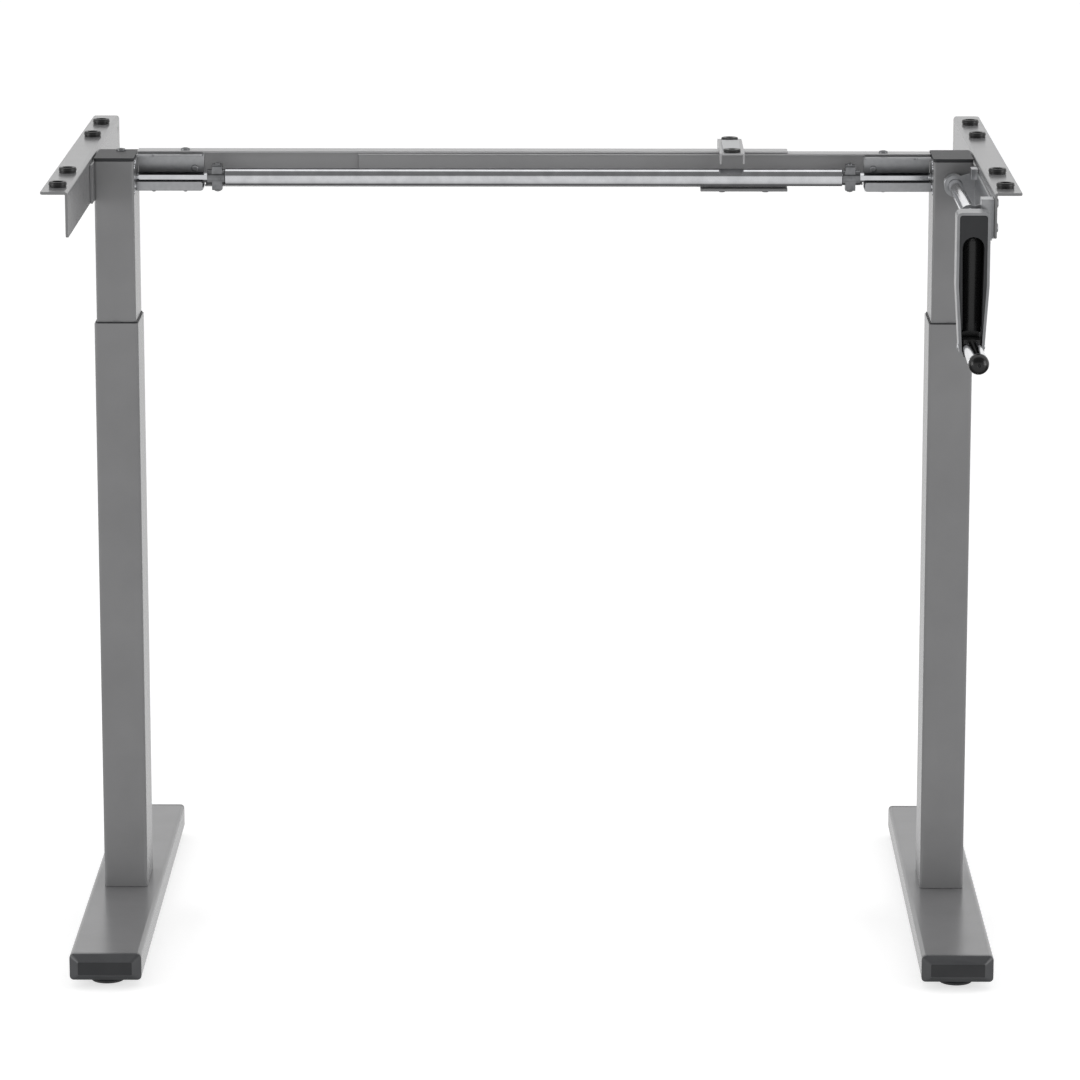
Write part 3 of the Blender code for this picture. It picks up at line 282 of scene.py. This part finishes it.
# ---------------------------------------------------------------------------- pieces
def place_on_axis(bm, axis, centre):
    """Turns what is modelled along +Z to lie along an axis, and moves it to a centre."""
    turn = Vector((0, 0, 1)).rotation_difference(Vector(axis)).to_matrix().to_4x4()
    bmesh.ops.transform(bm, matrix=Matrix.Translation(Vector(centre)) @ turn, verts=bm.verts)


def finish_piece(name, bm, slot, body, replaces=(), edge=0.0, segments=2):
    """Turns a bmesh into a piece that rides on a body. An edge rounds its sharp edges by that much."""
    bmesh.ops.remove_doubles(bm, verts=bm.verts, dist=1e-6)
    bmesh.ops.recalc_face_normals(bm, faces=bm.faces)
    mesh = bpy.data.meshes.new(name)
    bm.to_mesh(mesh)
    bm.free()
    mesh.materials.append(MATERIALS[slot])
    mesh.shade_smooth()
    mesh.set_sharp_from_angle(angle=math.radians(35))
    piece = bpy.data.objects.new(name, mesh)
    bpy.context.scene.collection.objects.link(piece)
    if edge:
        round_off(piece, edge, segments)
    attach(piece, body)
    if replaces:
        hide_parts(*replaces)
    return piece


def round_off(piece, width, segments=2):
    bevel = piece.modifiers.new("rounded edges", "BEVEL")
    bevel.width = width
    bevel.segments = segments
    bevel.limit_method = "ANGLE"
    bevel.angle_limit = math.radians(35)
    bevel.harden_normals = True


def turn_profile(profile, axis, centre, sides=ROUND, bm=None):
    """A turned shape. The profile is (radius, height) pairs; a closed one starts where it ends."""
    part = bmesh.new()
    points = [part.verts.new((radius, 0, height)) for radius, height in profile]
    edges = [part.edges.new(pair) for pair in zip(points, points[1:])]
    if profile[0][0] > 0 and profile[-1][0] > 0:
        edges.append(part.edges.new((points[-1], points[0])))
    bmesh.ops.spin(
        part, geom=points + edges, cent=(0, 0, 0), axis=(0, 0, 1), dvec=(0, 0, 0),
        angle=2 * math.pi, steps=sides, use_merge=True,
    )
    bmesh.ops.remove_doubles(part, verts=part.verts, dist=1e-7)
    bmesh.ops.recalc_face_normals(part, faces=part.faces)
    place_on_axis(part, axis, centre)
    return merged(part, bm)


def merged(part, bm):
    """Adds a shape to another one, or returns it by itself."""
    if bm is None:
        return part
    mesh = bpy.data.meshes.new("joined")
    part.to_mesh(mesh)
    part.free()
    bm.from_mesh(mesh)
    bpy.data.meshes.remove(mesh)
    return bm


def plate(low, high):
    """A rectangular block between two corners."""
    bm = bmesh.new()
    bmesh.ops.create_cube(bm, size=1)
    bmesh.ops.scale(bm, verts=bm.verts, vec=Vector(high) - Vector(low))
    bmesh.ops.translate(bm, verts=bm.verts, vec=(Vector(high) + Vector(low)) / 2)
    return bm


def round_corners(bm, axis, chosen, radius):
    """Rounds the chosen edges that run along an axis. An edge is chosen by its middle."""
    edges = []
    for edge in bm.edges:
        start, end = (vert.co for vert in edge.verts)
        along = abs((end - start).normalized().dot(AXES[axis]))
        if along > 0.99 and chosen((start + end) / 2):
            edges.append(edge)
    bmesh.ops.bevel(
        bm, geom=edges, offset=radius, segments=6, profile=0.5, affect="EDGES", material=-1
    )


def quarter(radius, height, corner, steps=6):
    """The rounded shoulder of a profile, from its top in to its outer side."""
    angles = [math.pi / 2 * (1 - step / steps) for step in range(steps + 1)]
    return [
        (radius - corner + corner * math.cos(a), height - corner + corner * math.sin(a)) for a in angles
    ]


def socket_screw(axis, centre, radius, height, bm=None):
    """A button-head screw: a domed head with a hexagonal socket, standing on centre along axis."""
    part = bmesh.new()
    dome = height * 0.7
    bmesh.ops.create_cone(
        part, cap_ends=True, segments=36, radius1=radius, radius2=radius, depth=height
    )
    bmesh.ops.translate(part, verts=part.verts, vec=(0, 0, height / 2))
    top = max(part.faces, key=lambda face: face.calc_center_median().z)
    bmesh.ops.bevel(
        part, geom=list(top.edges), offset=dome, segments=5, profile=0.5,
        affect="EDGES", material=-1,
    )
    top = max(part.faces, key=lambda face: face.calc_center_median().z)
    rim = radius - dome
    socket = rim * 0.75
    bmesh.ops.inset_region(part, faces=[top], thickness=rim - socket, use_even_offset=True)
    # The middle of the inset face is drawn out to a hexagon and sunk.
    inner = min(
        (face for face in part.faces if face.calc_center_median().z > height * 0.99),
        key=lambda face: face.calc_center_median().xy.length,
    )
    for vert in inner.verts:
        angle = math.atan2(vert.co.y, vert.co.x) % (2 * HALF_FLAT) - HALF_FLAT
        vert.co.xy = vert.co.xy.normalized() * socket * 0.87 / math.cos(angle)
    floor = bmesh.ops.extrude_discrete_faces(part, faces=[inner])["faces"][0]
    bmesh.ops.translate(part, verts=floor.verts, vec=(0, 0, -height * 0.6))
    place_on_axis(part, axis, centre)
    return merged(part, bm)


def hex_nut(axis, centre, across_flats, height, bm=None):
    """A hexagonal nut with a chamfered top, with the end of its bolt standing out of it."""
    part = bmesh.new()
    corner = across_flats / math.sqrt(3)
    bmesh.ops.create_cone(part, cap_ends=True, segments=6, radius1=corner, radius2=corner, depth=height)
    bmesh.ops.translate(part, verts=part.verts, vec=(0, 0, height / 2))
    top = max(part.faces, key=lambda face: face.calc_center_median().z)
    bmesh.ops.bevel(
        part, geom=list(top.edges), offset=height * 0.18, segments=2, profile=0.5,
        affect="EDGES", material=-1,
    )
    place_on_axis(part, axis, centre)
    bolt = across_flats * 0.28
    end = height * 1.35
    turn_profile(
        [
            (0, end), (bolt * 0.8, end), (bolt, end - bolt * 0.2),
            (bolt, height * 0.5), (0, height * 0.5),
        ],
        axis, centre, 32, part,
    )
    return merged(part, bm)


# ---------------------------------------------------------------------------- CAD nodes that stay
EDGE = {
    "grey_powder_coat": 0.6, "chrome": 0.4, "zinc": 0.4, "machined_steel": 0.2, "brass": 0.3,
    "charcoal_plastic": 0.5, "black_plastic": 0.6, "silver_grey_enamel": 1.6, "black_rubber": 0.3,
}
PLAIN_EDGES = ("guide_bush", "screw_gear", "pinion", "nut_post", "lead_nut", "lead_screw", "gearbox")
# The couplers are cut from bar and left greasy, darker than the plated sheet round them.
FINISH = {
    "coupler_left": "machined_steel", "coupler_right": "machined_steel",
    "crossbar_outer": "pale_powder_coat", "crossbar_inner": "pale_powder_coat",
    "centre_support": "pale_powder_coat",
    # The foot caps take the paler grey, a painted highlight for the light on their bevels.
    **{f"foot_cap_{end}_{side}": "painted_highlight_grey_plastic" for end in ("front", "rear") for side in SIDES},
}
ROLLED_EDGE = {"crossbar_outer": 0.95, "crossbar_inner": 0.95}
slots = {part["node"]: part["material_slot"] for part in frame["record"]["subparts"]}
for node, obj in frame["nodes"].items():
    obj.data.materials.clear()
    obj.data.materials.append(MATERIALS[FINISH.get(node, slots[node])])
    weld = obj.modifiers.new("welded", "WELD")
    weld.merge_threshold = 0.00001
    if not any(word in node for word in PLAIN_EDGES):
        round_off(obj, ROLLED_EDGE.get(node, EDGE[slots[node]]) * MM)


# ---------------------------------------------------------------------------- pads and glides
def add_pads():
    """Rubber buffers under the desktop: a waisted ring with a lip and a sunk hole."""
    for side in SIDES:
        for number in range(1, 5):
            node = f"rubber_pad_{side}_{number}"
            low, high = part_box(node)
            centre = middle(node)
            outer, tall = (high.x - low.x) / 2, high.z - low.z
            hole, seat, sunk = 3.0 * MM, 5.75 * MM, 3.5 * MM
            profile = (
                [(seat, tall - 0.4 * MM), (seat + 0.4 * MM, tall)]
                + quarter(outer - 0.4 * MM, tall, 1.2 * MM)
                + [(outer, tall * 0.55), (outer, tall * 0.4), (outer - 0.6 * MM, tall * 0.32)]
                + [(outer - 0.6 * MM, 0), (hole, 0), (hole, tall - sunk), (seat, tall - sunk)]
            )
            bm = turn_profile(profile, AXES["Z"], (centre.x, centre.y, low.z))
            finish_piece(f"pad_{side}_{number}", bm, "black_rubber", f"upper_{side}", (node,))
            # The screw's head sits in the pad.
            head = socket_screw(AXES["Z"], (centre.x, centre.y, high.z - sunk), 4.6 * MM, 2.2 * MM)
            finish_piece(f"pad_screw_{side}_{number}", head, "machined_steel", f"upper_{side}")


def add_glides():
    """Levelling feet: a moulded disc with a rounded shoulder, and a threaded stem in it."""
    for side in SIDES:
        for end in ("front", "rear"):
            node = f"glide_{end}_{side}"
            low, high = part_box(node)
            centre = middle(node)
            outer = (high.x - low.x) / 2
            tall = 7.7 * MM
            profile = (
                [(0, tall), (outer - 6 * MM, tall)]
                + quarter(outer - 1.2 * MM, tall - 1.5 * MM, 2.0 * MM)
                + [(outer, 2.6 * MM), (outer, 1.0 * MM), (outer - 1 * MM, 0), (0, 0)]
            )
            bm = turn_profile(profile, AXES["Z"], (centre.x, centre.y, 0))
            finish_piece(f"glide_disc_{end}_{side}", bm, "charcoal_plastic", node, (node,))
            stem = [(0, high.z), (3.4 * MM, high.z), (4.0 * MM, high.z - 0.6 * MM)]
            z = high.z - 1.6 * MM
            while z > tall + 2 * MM:
                stem += [(4.0 * MM, z), (3.5 * MM, z - 0.5 * MM)]
                z -= 1.0 * MM
            stem += [(4.0 * MM, tall), (0, tall)]
            bm = turn_profile(stem, AXES["Z"], (centre.x, centre.y, 0), 32)
            finish_piece(f"glide_stem_{end}_{side}", bm, "machined_steel", node)


# ---------------------------------------------------------------------------- shafts
def add_cross_shaft(side):
    """A drawn hexagonal bar with a turned journal, which carries the pinion inside the housing."""
    node = f"hex_rod_{side}"
    low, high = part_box(node)
    inward = -OUTWARD[side]
    # Stations along the shaft are measured from the gears' apex, on the column's centre line.
    gear_front, gear_back, collar_end, journal_end = 9.84 * MM, 14.3 * MM, 17.3 * MM, 25.8 * MM
    spigot, collar, journal, corner = 4.2 * MM, 7.0 * MM, 5.6 * MM, 5.5 * MM
    free_end = abs((high.x if inward > 0 else low.x) - COLUMN_X[side])
    apex = (COLUMN_X[side], COLUMN_Y, SHAFT_Z)
    bar = bmesh.new()
    start = journal_end - 2.0 * MM
    bmesh.ops.create_cone(
        bar, cap_ends=True, segments=6, radius1=corner, radius2=corner, depth=free_end - start
    )
    # Turned by half a flat, so that one flat faces the user.
    bmesh.ops.transform(bar, matrix=Matrix.Rotation(HALF_FLAT, 4, "Z"), verts=bar.verts)
    bmesh.ops.translate(bar, verts=bar.verts, vec=(0, 0, (free_end + start) / 2))
    place_on_axis(bar, inward * AXES["X"], apex)
    profile = [
        (0, gear_front), (spigot, gear_front), (spigot, gear_back), (collar, gear_back),
        (collar, collar_end), (journal, collar_end), (journal, journal_end), (0, journal_end),
    ]
    bm = turn_profile(profile, inward * AXES["X"], apex, bm=bar)
    finish_piece(f"{node}_drawn", bm, "chrome", f"shaft_{side}", (node,), 0.3 * MM)


def add_shafts():
    """The bright drive tube, with its rolled ends, and the crank rod with its ring."""
    low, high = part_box("drive_tube")
    centre = middle("drive_tube")
    outer, wall, length = (high.z - low.z) / 2, 1.5 * MM, high.x - low.x
    inner, half, lip = outer - wall, length / 2, 0.5 * MM
    profile = [
        (inner, half - lip), (inner + lip, half), (outer - lip, half), (outer, half - lip),
        (outer, lip - half), (outer - lip, -half), (inner + lip, -half), (inner, lip - half),
    ]
    bm = turn_profile(profile, AXES["X"], centre)
    finish_piece("drive_tube_bright", bm, "chrome", "shaft_left", ("drive_tube",))

    for side in SIDES:
        add_cross_shaft(side)

    low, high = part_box("crank_rod")
    centre = middle("crank_rod")
    radius = (high.z - low.z) / 2
    # The rod's stations are measured from the gears' apex, towards the user.
    apex, gear_back, gear_front = COLUMN_Y, 14.3 * MM, 9.84 * MM
    wide = apex - 31.4 * MM
    profile = [
        (0, apex - gear_front), (4.2 * MM, apex - gear_front), (4.2 * MM, apex - gear_back),
        (7.0 * MM, apex - gear_back), (7.0 * MM, wide), (radius, wide), (radius, low.y), (0, low.y),
    ]
    bm = turn_profile(profile, AXES["Y"], (centre.x, 0, centre.z))
    finish_piece("crank_rod_bright", bm, "chrome", "crank", ("crank_rod",), 0.3 * MM)

    low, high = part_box("crank_collar")
    centre = middle("crank_collar")
    ring, bore, long = (high.z - low.z) / 2, radius + 0.3 * MM, high.y - low.y
    groove = 0.7 * MM
    profile = [
        (bore, long / 2), (ring - groove, long / 2), (ring, long / 2 - groove), (ring, 1 * MM),
        (ring - groove, 0.4 * MM), (ring - groove, -0.4 * MM), (ring, -1 * MM),
        (ring, groove - long / 2), (ring - groove, -long / 2), (bore, -long / 2),
    ]
    bm = turn_profile(profile, AXES["Y"], centre)
    finish_piece("crank_rod_ring", bm, "zinc", "crank", ("crank_collar",))


# ---------------------------------------------------------------------------- crank grip
def add_grip():
    """The turning grip tube, its domed end cap with a moulded nipple, and the hinge pin's heads."""
    low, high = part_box("grip_sleeve")
    centre = middle("grip_sleeve")
    wide, narrow, bore = (high.x - low.x) / 2, 9.8 * MM, 5.3 * MM
    front, back = low.y, high.y
    profile = [
        (bore, back), (narrow - 0.6 * MM, back), (narrow, back - 0.6 * MM),
        (wide, front + 0.6 * MM), (wide - 0.6 * MM, front), (bore, front),
    ]
    bm = turn_profile(profile, AXES["Y"], (centre.x, 0, centre.z))
    finish_piece("grip_tube_bright", bm, "chrome", "grip_tube", ("grip_sleeve",))

    low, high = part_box("grip_end_cap")
    radius, long = (high.x - low.x) / 2, high.y - low.y
    rim = high.y - 0.6 * MM
    dome = long - 0.6 * MM
    angles = [math.pi / 2 * step / 10 for step in range(10)]
    nipple = 1.2 * MM
    profile = [(0, high.y), (radius - 0.4 * MM, high.y), (radius, high.y - 0.4 * MM)]
    profile += [(radius * math.cos(a), rim - dome * math.sin(a)) for a in angles]
    profile += [(nipple, low.y + 0.5 * MM), (nipple * 0.6, low.y), (0, low.y)]
    bm = turn_profile(profile, AXES["Y"], (centre.x, 0, centre.z))
    finish_piece("grip_end_dome", bm, "black_plastic", "grip", ("grip_end_cap",))

    hinge = next(joint for joint in frame["joints"] if joint["name"] == "grip_fold")["pos_m"]
    bm = None
    for way in (-1, 1):
        face = hinge[0] + way * 13.6 * MM
        bm = socket_screw(way * AXES["X"], (face, hinge[1], hinge[2]), 3.4 * MM, 1.6 * MM, bm)
    finish_piece("grip_hinge_pin", bm, "chrome", "crank")
    add_ribbed_barrel(hinge)
    add_arm_trough(hinge)


def add_ribbed_barrel(hinge):
    """The knuckle's barrel, ribbed for grip, that turns about the hinge pin."""
    rib, groove, half, ribs = 10.0 * MM, 9.3 * MM, 8.8 * MM, 7
    step = 2 * half / ribs
    profile = [(0, -half)]
    for number in range(ribs):
        start = -half + number * step
        profile += [
            (groove, start), (rib - 0.2 * MM, start + 0.3 * step), (rib, start + 0.45 * step),
            (rib, start + 0.55 * step), (rib - 0.2 * MM, start + 0.7 * step),
        ]
    profile += [(groove, half), (0, half)]
    bm = turn_profile(profile, AXES["X"], hinge)
    finish_piece("grip_hinge_barrel", bm, "black_plastic", "grip")


def add_arm_trough(hinge):
    """The rounded black bed in the crank's arm that the folded grip lies in, round at its top."""
    low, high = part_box("grip_end_cap")
    wall, room = 0.12 * MM, 0.33 * MM
    wide, narrow = (high.x - low.x) / 2 + room, 10.15 * MM
    foot, centre = 14.8 * MM, hinge[1] - low.y + 0.5 * MM - wide - wall
    angles = [math.pi / 2 * step / 12 for step in range(12)]
    inner = [(narrow, foot)] + [
        (wide * math.cos(a), centre + wide * math.sin(a)) for a in angles
    ]
    inner += [(0, centre + wide)]
    outer = [(radius + wall if radius else 0, height) for radius, height in inner]
    outer[-1] = (0, inner[-1][1] + wall)
    part = bmesh.new()
    points = [part.verts.new((radius, 0, height)) for radius, height in inner + outer[::-1]]
    edges = [part.edges.new(pair) for pair in zip(points, points[1:])]
    edges.append(part.edges.new((points[-1], points[0])))
    bmesh.ops.spin(
        part, geom=points + edges, cent=(0, 0, 0), axis=(0, 0, 1), dvec=(0, 0, 0),
        angle=math.pi, steps=32,
    )
    bmesh.ops.remove_doubles(part, verts=part.verts, dist=1e-7)
    bmesh.ops.holes_fill(part, edges=[edge for edge in part.edges if edge.is_boundary], sides=0)
    bmesh.ops.recalc_face_normals(part, faces=part.faces)
    bmesh.ops.translate(part, verts=part.verts, vec=hinge)
    finish_piece("arm_trough", part, "black_plastic", "crank")
    # Behind the knuckle the bed goes on as a flat plate.
    half, back = 9.6 * MM, hinge[1] + 11.6 * MM
    low = (hinge[0] - half, back - 0.8 * MM, hinge[2] - 8.5 * MM)
    bm = plate(low, (hinge[0] + half, back, hinge[2] + foot + 0.5 * MM))
    finish_piece("arm_foot_plate", bm, "black_plastic", "crank", edge=0.2 * MM)


# ---------------------------------------------------------------------------- fasteners
def add_crossbar_bolts():
    """Bolts that clamp the crossbar on the leg brackets, with their nuts underneath."""
    bolt_x = {"left": (0.397, 0.433), "right": (0.398,)}
    y = COLUMN_Y + 17 * MM
    for side in SIDES:
        way = OUTWARD[side]
        bar = "crossbar_outer" if side == "left" else "crossbar_inner"
        bar_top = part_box(bar)[1].z
        bracket_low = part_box(f"leg_bracket_{side}")[0].z
        heads = None
        for number, x in enumerate(bolt_x[side]):
            if number == 0:
                heads = socket_screw(AXES["Z"], (way * x, y, bar_top), 5.2 * MM, 2.4 * MM, heads)
            heads = hex_nut(-AXES["Z"], (way * x, y - 6 * MM, bracket_low), 7 * MM, 2.6 * MM, heads)
        finish_piece(f"crossbar_bolts_{side}", heads, "machined_steel", f"upper_{side}")
        add_web_bolts(side, way)
    add_lock_screws()


def add_web_bolts(side, way):
    """A screw through the leg bracket's web, and the four screws of the gear housing beside it."""
    low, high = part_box(f"leg_bracket_{side}")
    face = high.y - 2.0 * MM
    free = low.x if side == "right" else high.x
    bm = socket_screw(-AXES["Y"], (free + way * 11 * MM, face, 0.8715), 4.0 * MM, 1.8 * MM)
    finish_piece(f"web_screw_{side}", bm, "zinc", f"upper_{side}")
    wall = COLUMN_X[side] - way * (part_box(f"top_cap_{side}")[1].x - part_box(f"top_cap_{side}")[0].x) / 2
    bm = None
    for y, z in ((-30, 15), (-30, -13), (-19, 19), (-19, -8)):
        centre = (wall, COLUMN_Y + y * MM, SHAFT_Z + z * MM)
        bm = socket_screw(-way * AXES["X"], centre, 2.6 * MM, 1.2 * MM, bm)
    finish_piece(f"housing_screws_{side}", bm, "chrome", f"upper_{side}")


def add_lock_screws():
    """The two screws under the lock plate that clamp the crossbar's width."""
    low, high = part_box("lock_plate")
    bm = None
    for share in (0.25, 0.75):
        x = low.x + share * (high.x - low.x)
        bm = socket_screw(-AXES["Z"], (x, middle("lock_plate").y, low.z), 4.2 * MM, 2.4 * MM, bm)
    finish_piece("lock_screws", bm, "machined_steel", "upper_left")


def add_coupler_screws():
    """Set screws on the clamp blocks of the drive tube's ends."""
    for side in SIDES:
        low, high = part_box(f"coupler_{side}")
        x = OUTWARD[side] * (abs(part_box("drive_tube")[1].x) + 3 * MM + 5.75 * MM)
        bm = socket_screw(AXES["Z"], (x, COLUMN_Y, high.z), 3.4 * MM, 1.6 * MM)
        bm = hex_nut(-AXES["Z"], (x, COLUMN_Y, low.z), 6 * MM, 1.6 * MM, bm)
        finish_piece(f"clamp_screw_{side}", bm, "machined_steel", "shaft_left")


def add_stay_bolts():
    """Two bolts that hold the crank's stay, through the right side bracket near its front end."""
    low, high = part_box("side_bracket_right")
    flange = low.x + 3 * MM
    y = low.y + 20 * MM
    bm = None
    for way in (-1, 1):
        z = (low.z + high.z) / 2 - 2 * MM + way * 13.5 * MM
        bm = socket_screw(AXES["X"], (flange, y, z), 5.2 * MM, 2.6 * MM, bm)
    finish_piece("stay_bolts", bm, "machined_steel", "upper_right")
    # The stay's ends are folded into stiff blocks beside the side bracket. In millimetres.
    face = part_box("crank_stay")[1].x
    for name, wide, front, long, bottom, top in (
        ("front", 13.5, -251.5, 22.5, 844.5, 887.0), ("rear", 8.0, -26.0, 20.0, 875.5, 887.5),
    ):
        bm = plate(
            (face - wide * MM, front * MM, bottom * MM), (face, (front + long) * MM, top * MM)
        )
        front_face = min(bm.faces, key=lambda item: item.calc_center_median().y)
        bmesh.ops.inset_region(bm, faces=[front_face], thickness=2.0 * MM, use_even_offset=True)
        bmesh.ops.translate(bm, verts=front_face.verts, vec=(0, 0.8 * MM, 0))
        finish_piece(f"stay_block_{name}", bm, "zinc", "upper_right", edge=0.5 * MM)


def add_bracket_lips():
    """The turned-up front lip of each leg bracket, in front of the lower half of its shaft."""
    for side in SIDES:
        low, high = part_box(f"leg_bracket_{side}")
        thick, top = 1.6 * MM, SHAFT_Z - 4.5 * MM
        bm = plate((low.x, low.y - thick, low.z), (high.x, low.y, top))
        free = low.x if side == "right" else high.x
        round_corners(bm, "Y", lambda spot: abs(spot.x - free) < MM, 2.5 * MM)
        finish_piece(f"bracket_lip_{side}", bm, "zinc", f"upper_{side}", edge=0.4 * MM)


def add_support_pads():
    """Two rubber buttons and the bright bar between them, on the middle support."""
    low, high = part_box("centre_support")
    x = middle("centre_support").x
    for name, y in (("front", low.y + 13 * MM), ("rear", high.y - 13 * MM)):
        profile = (
            [(0, 1.6 * MM), (3.2 * MM, 1.6 * MM), (4.2 * MM, 3.5 * MM)]
            + quarter(9.6 * MM, 3.5 * MM, 1.0 * MM)
            + [(9.6 * MM, 0), (0, 0)]
        )
        bm = turn_profile(profile, AXES["Z"], (x, y, high.z))
        finish_piece(f"support_pad_{name}", bm, "black_rubber", "upper_left")
    bm = bmesh.new()
    bmesh.ops.create_cube(bm, size=1)
    bmesh.ops.scale(bm, verts=bm.verts, vec=(20 * MM, high.y - low.y - 52 * MM, 2.4 * MM))
    bmesh.ops.translate(bm, verts=bm.verts, vec=(x, middle("centre_support").y, high.z + 1.2 * MM))
    finish_piece("support_bar", bm, "zinc", "upper_left", edge=0.9 * MM, segments=3)


def add_foot_panels():
    """The dark grained panel on the outer face of each front foot cap."""
    # A rear panel would stand out past the frame's rearmost face, so the rear caps have none.
    for side in SIDES:
        low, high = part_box(f"foot_cap_front_{side}")
        inset = Vector((10.0 * MM, 0, 7.5 * MM))
        low, high = low + inset, high - inset
        low.y, high.y = low.y - 0.25 * MM, low.y + 1.0 * MM
        bm = plate(low, high)
        round_corners(bm, "Y", lambda spot: True, 1.2 * MM)
        name = f"foot_panel_front_{side}"
        finish_piece(name, bm, "charcoal_plastic", f"base_{side}", edge=0.15 * MM)


def add_cap_screw():
    """The domed screw that holds the left column's cap."""
    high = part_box("top_cap_left")[1]
    centre = (COLUMN_X["left"] + 3 * MM, COLUMN_Y + 27 * MM, high.z)
    bm = socket_screw(AXES["Z"], centre, 5.4 * MM, 2.4 * MM)
    finish_piece("cap_screw", bm, "machined_steel", "upper_left")


add_pads()
add_glides()
add_shafts()
add_grip()
add_crossbar_bolts()
add_coupler_screws()
add_stay_bolts()
add_bracket_lips()
add_support_pads()
add_foot_panels()
add_cap_screw()


# ---------------------------------------------------------------------------- studio
# How bright the studio is, by degrees from the user's side, over the top (90) to the back: a
# lit floor and front, a dark gap over them, a large soft box overhead and a pale backdrop. Below
# the horizon (under 0) the front and the back stay pale, and a dark band lies between them.
STUDIO_LEVELS = (
    (-180, 0.80), (-160, 0.80), (-146, 0.10), (-100, 0.10), (-75, 0.55), (-40, 0.68), (14, 0.68),
    (28, 0.16), (86, 0.18), (93, 1.00), (124, 1.00), (131, 0.30), (148, 0.45), (160, 0.88), (180, 0.88),
)
STUDIO_STRENGTH = 1.15


def add_floor():
    """White paper. It is lit a little from below, so that it stays white under the dim studio."""
    bm = bmesh.new()
    bmesh.ops.create_grid(bm, x_segments=1, y_segments=1, size=30)
    mesh = bpy.data.meshes.new("floor")
    bm.to_mesh(mesh)
    bm.free()
    material, tree, shader, place = start_material("backlit_white_paper", Roughness=0.9)
    shader.inputs["Specular IOR Level"].default_value = 0.0
    shader.inputs["Emission Color"].default_value = linear("#ffffff")
    shader.inputs["Emission Strength"].default_value = 0.62
    tone = add(tree, "TexNoise", {"Scale": pitch(400)}, {"Vector": place})
    paper = add(
        tree, "ValToRGB", links={"Fac": tone.outputs["Fac"]},
        stops=((NOISE_LOW, linear("#dadada")), (NOISE_HIGH, linear("#dddddd"))),
    )
    tree.links.new(paper.outputs["Color"], shader.inputs["Base Color"])
    mesh.materials.append(material)
    floor = bpy.data.objects.new("floor", mesh)
    bpy.context.scene.collection.objects.link(floor)
    floor.visible_diffuse = False
    floor.visible_glossy = False


def add_light(name, place, target, size, power):
    """A large soft box that faces a target."""
    light = bpy.data.lights.new(name, "AREA")
    light.shape = "RECTANGLE"
    light.size, light.size_y = size
    light.energy = power
    lamp = bpy.data.objects.new(name, light)
    bpy.context.scene.collection.objects.link(lamp)
    lamp.location = place
    aim = Vector(target) - Vector(place)
    lamp.rotation_euler = aim.to_track_quat("-Z", "Y").to_euler()


def add_world():
    """The studio's walls, by direction. The camera itself sees them plain white."""
    world = bpy.data.worlds.new("studio")
    world.use_nodes = True
    tree = world.node_tree
    tree.nodes.clear()
    way = add(tree, "TexCoord").outputs["Generated"]
    split = add(tree, "SeparateXYZ", links={"Vector": way})
    ahead = add(tree, "Math", {"operation": "MULTIPLY", 1: -1.0}, {0: split.outputs["Y"]})
    turn = add(
        tree, "Math", {"operation": "ARCTAN2"}, {0: split.outputs["Z"], 1: ahead.outputs["Value"]}
    )
    share = add(
        tree, "MapRange", {"From Min": -math.pi, "From Max": math.pi}, {"Value": turn.outputs["Value"]}
    )
    stops = [((degrees + 180) / 360, (level, level, level, 1)) for degrees, level in STUDIO_LEVELS]
    levels = add(tree, "ValToRGB", links={"Fac": share.outputs["Result"]}, stops=stops)
    walls = add(tree, "Background", {"Strength": STUDIO_STRENGTH}, {"Color": levels.outputs["Color"]})
    plain = add(tree, "Background", {"Color": linear("#ffffff"), "Strength": 1.0})
    seen = add(tree, "LightPath").outputs["Is Camera Ray"]
    both = add(
        tree, "MixShader",
        links={0: seen, 1: walls.outputs["Background"], 2: plain.outputs["Background"]},
    )
    add(tree, "OutputWorld", links={"Surface": both.outputs["Shader"]})
    bpy.context.scene.world = world


def add_studio():
    """Stages the floor, the walls, two soft boxes and the camera."""
    add_floor()
    add_world()
    box_size, box_power, aim = (1.2, 1.8), 24, (0, 0, 0.45)
    add_light("soft_box_left", (-3.0, -1.2, 1.2), aim, box_size, box_power)
    add_light("soft_box_right", (3.0, -1.2, 1.2), aim, box_size, box_power)
    bpy.context.scene.view_settings.view_transform = "Standard"

    camera = bpy.data.objects.new("camera", bpy.data.cameras.new("camera"))
    bpy.context.scene.collection.objects.link(camera)
    camera.data.lens = 170.4
    camera.data.sensor_width = 36
    camera.location = (0.054, -5.7049, 1.6973)
    down, turn = 0.2141, 0.0081
    camera.rotation_euler = (math.pi / 2 - down, 0, turn)
    bpy.context.scene.camera = camera


add_studio()
